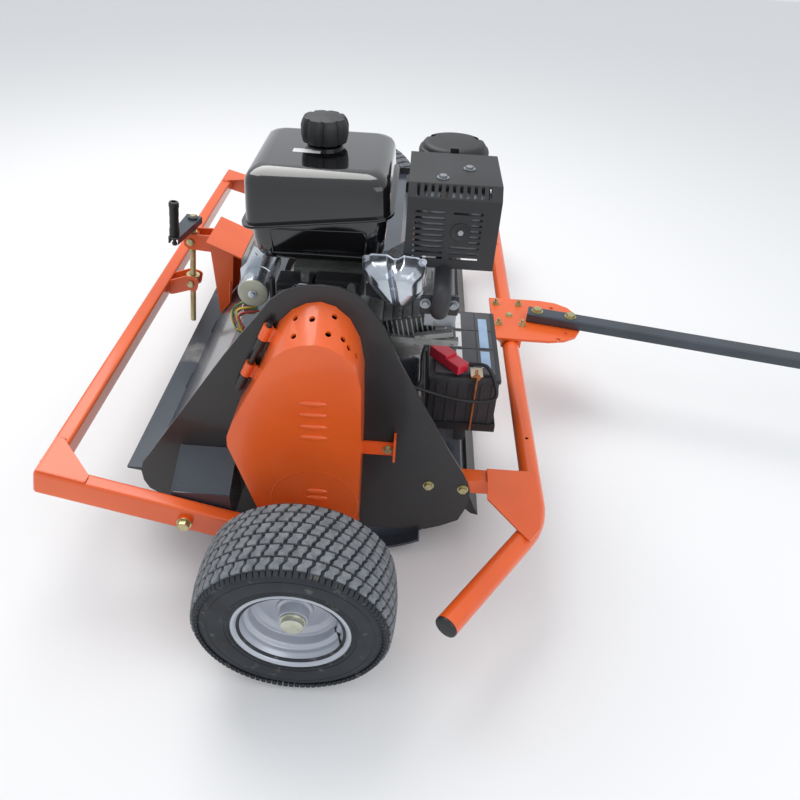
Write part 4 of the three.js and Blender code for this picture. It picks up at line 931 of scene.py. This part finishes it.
sleeve = soften(prism(fillet([(94, 700), (112, 712), (132, 713), (168, 738), (205, 738), (213, 725),
                              (213, 672), (140, 662), (94, 672)], 6), "y", RIM_Y - 1, -520), 2)
room = prism([(97, 698), (113, 709), (133, 710), (169, 735), (204, 735), (210, 724), (210, 668), (97, 660)],
             "y", RIM_Y + 3, -500)
remake("cylinder_shroud", bright_zinc, [skin(rings), rolled_edge, drilled(sleeve, room)])
screws = bolts([(94, RIM_Y - 3, 758), (206, RIM_Y - 3, 758)], (0, -1, 0), 5, 4, 8)
make("shroud_screws", screws, bright_zinc, "deck")
make("cylinder_foot", [moved(soften(brick(200, 278, -716, -700, 18, 30), 2.5), LEANING),
                       *hexagon_head((216, -716, 624), (0, -1, 0), 5, 4)], cast_alloy, "deck")
bowls = [rod((-52, -668, 650), (-52, -600, 650), 16), rod((-30, -640, 690), (-30, -640, 712), 9),
         rod((30, -672, 662), (30, -620, 662), 12), rod((66, -664, 690), (66, -640, 690), 9),
         *bolts([(-74, -668, 676), (8, -668, 690)], (0, -1, 0), 6, 5, 9)]
make("carburettor_body", bowls, cast_alloy, "deck")
plates = [soften(brick(-88, -14, -660, -602, 640, 694), 5), soften(brick(-10, 84, -650, -604, 640, 700), 6),
          soften(brick(-100, 96, -668, -640, 634, 642), 1.5), rod((-96, -650, 640), (-96, -650, 700), 6)]
make("governor_plate", plates, black_paint, "deck")
linkage = [round_bar(bent([(-92, -664, 652), (-40, -668, 700), (48, -668, 694), (78, -664, 652)], 10), 2, 12),
           round_bar(bent([(-60, -672, 640), (10, -672, 676), (74, -672, 668)], 8), 1.6, 12),
           *bolts([(-40, -668, 690), (52, -662, 666)], (0, -1, 0), 7, 6, 10)]
make("governor_linkage", linkage, bright_zinc, "deck")
for i in range(7):
    drop = 7 * math.sin(2.1 * i)
    line = [(-150 + 4 * i, -636 - 3 * i, 640 - 3 * i), (-184 + 3 * i, -652 - 3 * i, 618 + drop),
            (-176 + 5 * i, -668 - 3 * i, 586 - drop), (-136 + 2 * i, -676 - 2 * i, 584 + drop),
            (-108, -668 - 3 * i, 604 + 4 * i), (-84, -690, 628 + 5 * i)]
    look = wire_looks[i % len(wire_looks)]
    make(f"engine_wire_{i + 1}", [round_bar(smooth_line(line, 8), 2.2, 12)], look, "deck")


# ---- Fuel tank ----
# Two pressed steel halves are joined on a rolled seam and painted gloss black, with a blank white label and
# a large lobed plastic cap on the filler neck.
gloss_black = finish("gloss_black_tank_paint", ((20, 20, 22), (15, 15, 16)), 0.1, coat=0.7, blotch=4,
                     grain=500, relief=0.03, spread=0.05)
label_paper = finish("blank_label", ((226, 226, 224), (210, 211, 212)), 0.5, blotch=30, grain=900, relief=0.1)


def loft(rings):
    """A closed body through rounded rectangles of (z, x from, x to, y from, y to, corner radius)."""
    return skin([[(x, y, z) for x, y in fillet([(x0, y0), (x1, y0), (x1, y1), (x0, y1)], radius, 8)]
                 for z, x0, x1, y0, y1, radius in rings])


def inset_rings(box, steps):
    """Rings of a rounded rectangle drawn in by given amounts, from (z, inset, corner radius) steps."""
    x0, x1, y0, y1 = box
    return [(z, x0 + i, x1 - i, y0 + i, y1 - i, radius) for z, i, radius in steps]


SEAM_RISE, SEAM_Z, TANK_MIDDLE = math.tan(math.radians(7)), 812.5, -8


def leaned(bm, reach):
    """The shape with its part near the seam raised towards the front, fading out over a height."""
    for v in bm.verts:
        share = max(0, 1 - abs(v.co.z - SEAM_Z) / reach)
        v.co.z += (v.co.x - TANK_MIDDLE) * SEAM_RISE * share
    return bm


upper = leaned(loft([
    (813, -152, 136, -626, -322, 34), (878, -149, 133, -624, -326, 34), (888, -146, 130, -620, -330, 32),
    (895, -141, 125, -611, -335, 28), (900, -133, 117, -599, -342, 26), (903, -124, 109, -586, -349, 24),
    (904, -114, 100, -572, -356, 20)]), 70)
lower = leaned(loft(inset_rings((-142, 130, -620, -328), [(716, 34, 24), (718, 24, 28), (724, 14, 32),
                                                          (734, 7, 36), (748, 3, 38), (780, 0, 40),
                                                          (811, 0, 40)])), 90)
seam = leaned(loft(inset_rings((-161, 144, -635, -313), [(809, 1.5, 46), (809.6, 0, 46), (812, 0, 46),
                                                         (812.4, 1.5, 46), (813, 1.5, 46), (813.6, 0, 46),
                                                         (815.4, 0, 46), (816, 1.5, 46)])), 1000)
CAP_X, CAP_Y, FLUTES, FLUTE_DEEP = -10, -452, 8, 5.5
neck = turned_piece([(30, 898), (36, 898), (36, 902), (38, 904), (38, 908), (36, 910), (30, 911)])
outline_ridge = round_bar([(x, -619.4 - 0.02 * (780 - z), z) for x, z in (
    (-96, 742), (-100, 792), (84, 796), (92, 784), (88, 742), (-96, 742))], 2.2, 10)
remake("fuel_tank", gloss_black, [upper, lower, seam, moved(neck, Matrix.Translation((CAP_X, CAP_Y, 0))),
                                outline_ridge])
make("tank_label", [soften(brick(-70, -14, -500, -480, 903, 904.8), 0.3)], label_paper, "deck")


def fluted(radius, angle):
    """The cap's radius at an angle, drawn in at each flute where the cap is wide."""
    return radius - FLUTE_DEEP * max(0, math.cos(FLUTES * angle)) ** 3 * min(1, max(0, (radius - 20) / 20))


cap_rings = []
for widest, z in ((34, 912.3), (38, 912.6), (46, 916), (48.6, 930), (48.8, 947), (46, 956), (42, 962),
                  (20, 964.6), (3, 966)):
    outline = [(fluted(widest, t), t) for t in angles(128)]
    cap_rings.append([(CAP_X + r * math.cos(t), CAP_Y + r * math.sin(t), z) for r, t in outline])
remake("fuel_cap", black_plastic, [skin(cap_rings)])


# ---- Exhaust and air cleaner ----
# The muffler hangs behind a slotted black guard over the cylinder, with a cast elbow down to the exhaust
# port. The round air cleaner stands behind it under a moulded cover with three notches.
guard_black = finish("matt_black_guard_paint", ((44, 44, 47), (36, 36, 39)), 0.55, blotch=12, grain=1100,
                     relief=0.35)
silver_alloy = finish("aluminised_steel", ((168, 172, 176), (146, 150, 156)), 0.4, metal=0.85, blotch=18,
                      grain=800, relief=0.3, marks=((120, 108, 92), 30, (1, 1, 1), 0.64))
panel = soften(of_node("muffler_guard"), 1.6)
slots = [repeated(brick(184, 190, -641, -622, 872, 920), 11, guard_black, step=(13.4, 0, 0))]
slots += [repeated(brick(x0, x1, -606, -600, 850, 892), 10, guard_black, step=(0, 15, 0))
          for x0, x1 in ((160, 186), (328, 352))]
FACE_SLOT_Z, FACE_SLOT_PITCH = 762, 11.6
for x0, x1, first, count in ((183, 242, 0, 9), (256, 312, 0, 3), (292, 312, 3, 5), (256, 312, 8, 1)):
    z = FACE_SLOT_Z + first * FACE_SLOT_PITCH
    slots.append(repeated(brick(x0, x1, -650, -636, z, z + 5), count, guard_black,
                          step=(0, 0, FACE_SLOT_PITCH)))
dimple = [(0.01, -643), (8, -643), (15, -646), (18, -646), (19, -643.6), (19, -640), (0.01, -640)]
remake("muffler_guard", guard_black, [drilled(panel, gathered(slots)), spun(dimple, 273, 820, 48)])
guard_bolts = bolts([(232, -594, 905.3), (284, -540, 905.3)], (0, 0, 1), 8, 6, 12)
guard_bolts += hexagon_head((273, -643.4, 820), (0, -1, 0), 6, 4)
make("muffler_guard_bolts", guard_bolts, silver_alloy, "deck")
can = loft(inset_rings((186, 328, -628, -470), [(752, 16, 12), (755, 8, 16), (762, 2, 20), (772, 0, 22),
                                                (870, 0, 22), (880, 2, 20), (887, 8, 16), (890, 16, 12)]))
band_ring = loft(inset_rings((184, 330, -630, -468), [(818, 2, 22), (819, 0, 24), (825, 0, 24),
                                                      (826, 2, 22)]))
remake("muffler", silver_alloy, [can, band_ring, soften(brick(216, 280, -698, -690.6, 640, 712), 3)])
elbow = [(250, -596, 780), (250, -604, 736), (247, -718, 724), (244, -726, 690), (243, -699, 686)]
elbow_flange = soften(brick(206, 282, -706, -698.4, 672, 712), 3)
make("exhaust_elbow", [round_bar(bent(elbow, 14), 18, 32), elbow_flange], guard_black, "deck")
exhaust_bolts = bolts([(216, -706.3, 697), (271, -706.3, 697)], (0, -1, 0), 7, 8, 11)
make("exhaust_bolts", exhaust_bolts, silver_alloy, "deck")
cover_profile = [(0.01, 887.6), (56, 887.6), (66, 885), (70, 880), (71, 875), (76, 873), (78, 868), (78, 809),
                 (76, 806), (46, 806), (46, 770), (0.01, 770)]
AIR_AT = Matrix.Translation((262, -320, 0))
cover = moved(turned_piece(cover_profile, 96), AIR_AT)
notches = repeated(brick(52, 84, -9, 9, 878, 895), 3, black_plastic, turn=(0, 0, math.tau / 3))
moved(notches, AIR_AT @ Matrix.Rotation(0.5, 4, "Z"))
duct = soften(brick(160, 230, -345, -295, 772, 798), 4)
remake("air_cleaner", black_plastic, [drilled(cover, notches), duct])


# ---- Battery ----
# A sealed battery stands in a folded tray on the deck ahead of the engine, held by a copper plated rod and
# clamp. A red boot covers the positive clamp, and two black leads run back to the starter.
battery_case = finish("battery_case_moulding", ((52, 52, 56), (42, 42, 46)), 0.5, blotch=14, grain=1400,
                      relief=0.35)
battery_lid = finish("battery_lid_moulding", ((78, 78, 82), (66, 66, 70)), 0.5, blotch=14, grain=1400,
                     relief=0.35)
red_plastic = finish("red_terminal_boot", ((206, 40, 62), (188, 32, 54)), 0.35, coat=0.2, blotch=20,
                     grain=900, relief=0.15)
pale_label = finish("pale_blue_label", ((160, 186, 214), (146, 172, 204)), 0.45, blotch=26, grain=700,
                    relief=0.05)
copper_plate = finish("copper_plated_rod", ((196, 132, 84), (170, 108, 66)), 0.35, metal=0.85, blotch=40,
                      grain=900, relief=0.2)
cream_tab = finish("cream_clamp_tab", ((222, 208, 186), (208, 192, 168)), 0.5, blotch=40, grain=900,
                   relief=0.2)
cable_rubber = finish("black_cable_sleeve", ((30, 30, 32), (24, 24, 25)), 0.5, blotch=50, grain=1500,
                      relief=0.25)
case = soften(brick(246, 408, -597, -305, 297, 432), 3)
strakes = [repeated(soften(brick(262, 268, -599, -596, 304, 426), 0.8), 6, battery_case, step=(26, 0, 0)),
           repeated(soften(brick(407, 410, -580, -574, 304, 426), 0.8), 8, battery_case, step=(0, 34, 0))]
rim = soften(brick(242, 411, -600, -302, 432.3, 444), 2.5)
remake("battery", battery_case, [case, rim, *strakes])
lid = soften(brick(258, 398, -586, -316, 443.5, 450), 2)
lid = drilled(lid, gathered([brick(x, x + 3, -600, -300, 447.6, 455) for x in (300, 356)]))
lid = drilled(lid, gathered([brick(250, 410, y, y + 3, 448, 455.5) for y in (-486, -404)]))
make("battery_lid", [lid], battery_lid, "deck")
RED_POST, GROUND_POST = (288, -553), (282, -342)
posts = [rod((x, y, 449), (x, y, 458), 9) for x, y in (RED_POST, GROUND_POST)]
make("battery_posts", posts, silver_alloy, "deck")
for name, look, x0, x1, lengths in (
        ("battery_white_strips", label_paper, 308, 322, ((-478, -412), (-396, -326), (-560, -492))),
        ("battery_blue_labels", pale_label, 366, 388, ((-478, -346), (-562, -494)))):
    labels = [soften(brick(x0, x1, y0, y1, 449.5, 450.7), 0.2) for y0, y1 in lengths]
    make(name, labels, look, "deck")
remake("battery_tray", black_paint, edge=0.8)
remake("hold_down_rod", copper_plate, edge=0.6)
make("hold_down_tab", [soften(brick(338, 366, -608, -574, 456.4, 458.4), 0.5)], cream_tab, "deck")
BOOT = Matrix.Translation((*RED_POST, 0)) @ Matrix.Rotation(math.radians(-48.6), 4, "Z")
boot = [soften(brick(-50, 50, -17, 17, 451, 474), 3, segments=3),
        soften(brick(-50, 8, -17, 17, 470, 480), 3, segments=3)]
remake("terminal_cover", red_plastic, [moved(bm, BOOT) for bm in boot])
leads = {"battery_lead_red_side": [(335, -571, 465), (376, -584, 468), (400, -618, 430), (388, -626, 404),
                                   (320, -626, 400), (240, -622, 416), (176, -640, 452), (150, -668, 478)],
         "battery_lead_ground": [(282, -355, 466), (262, -430, 480), (244, -500, 490), (226, -560, 474),
                                 (226, -606, 432), (206, -622, 412), (180, -640, 412), (154, -652, 430)]}
for node, line in leads.items():
    lugs = [rod(line[0], Vector(line[0]).lerp(Vector(line[1]), 0.25), 5.6, 20)]
    remake(node, cable_rubber, [round_bar(smooth_line(line, 10), 4.5, 20), *lugs])
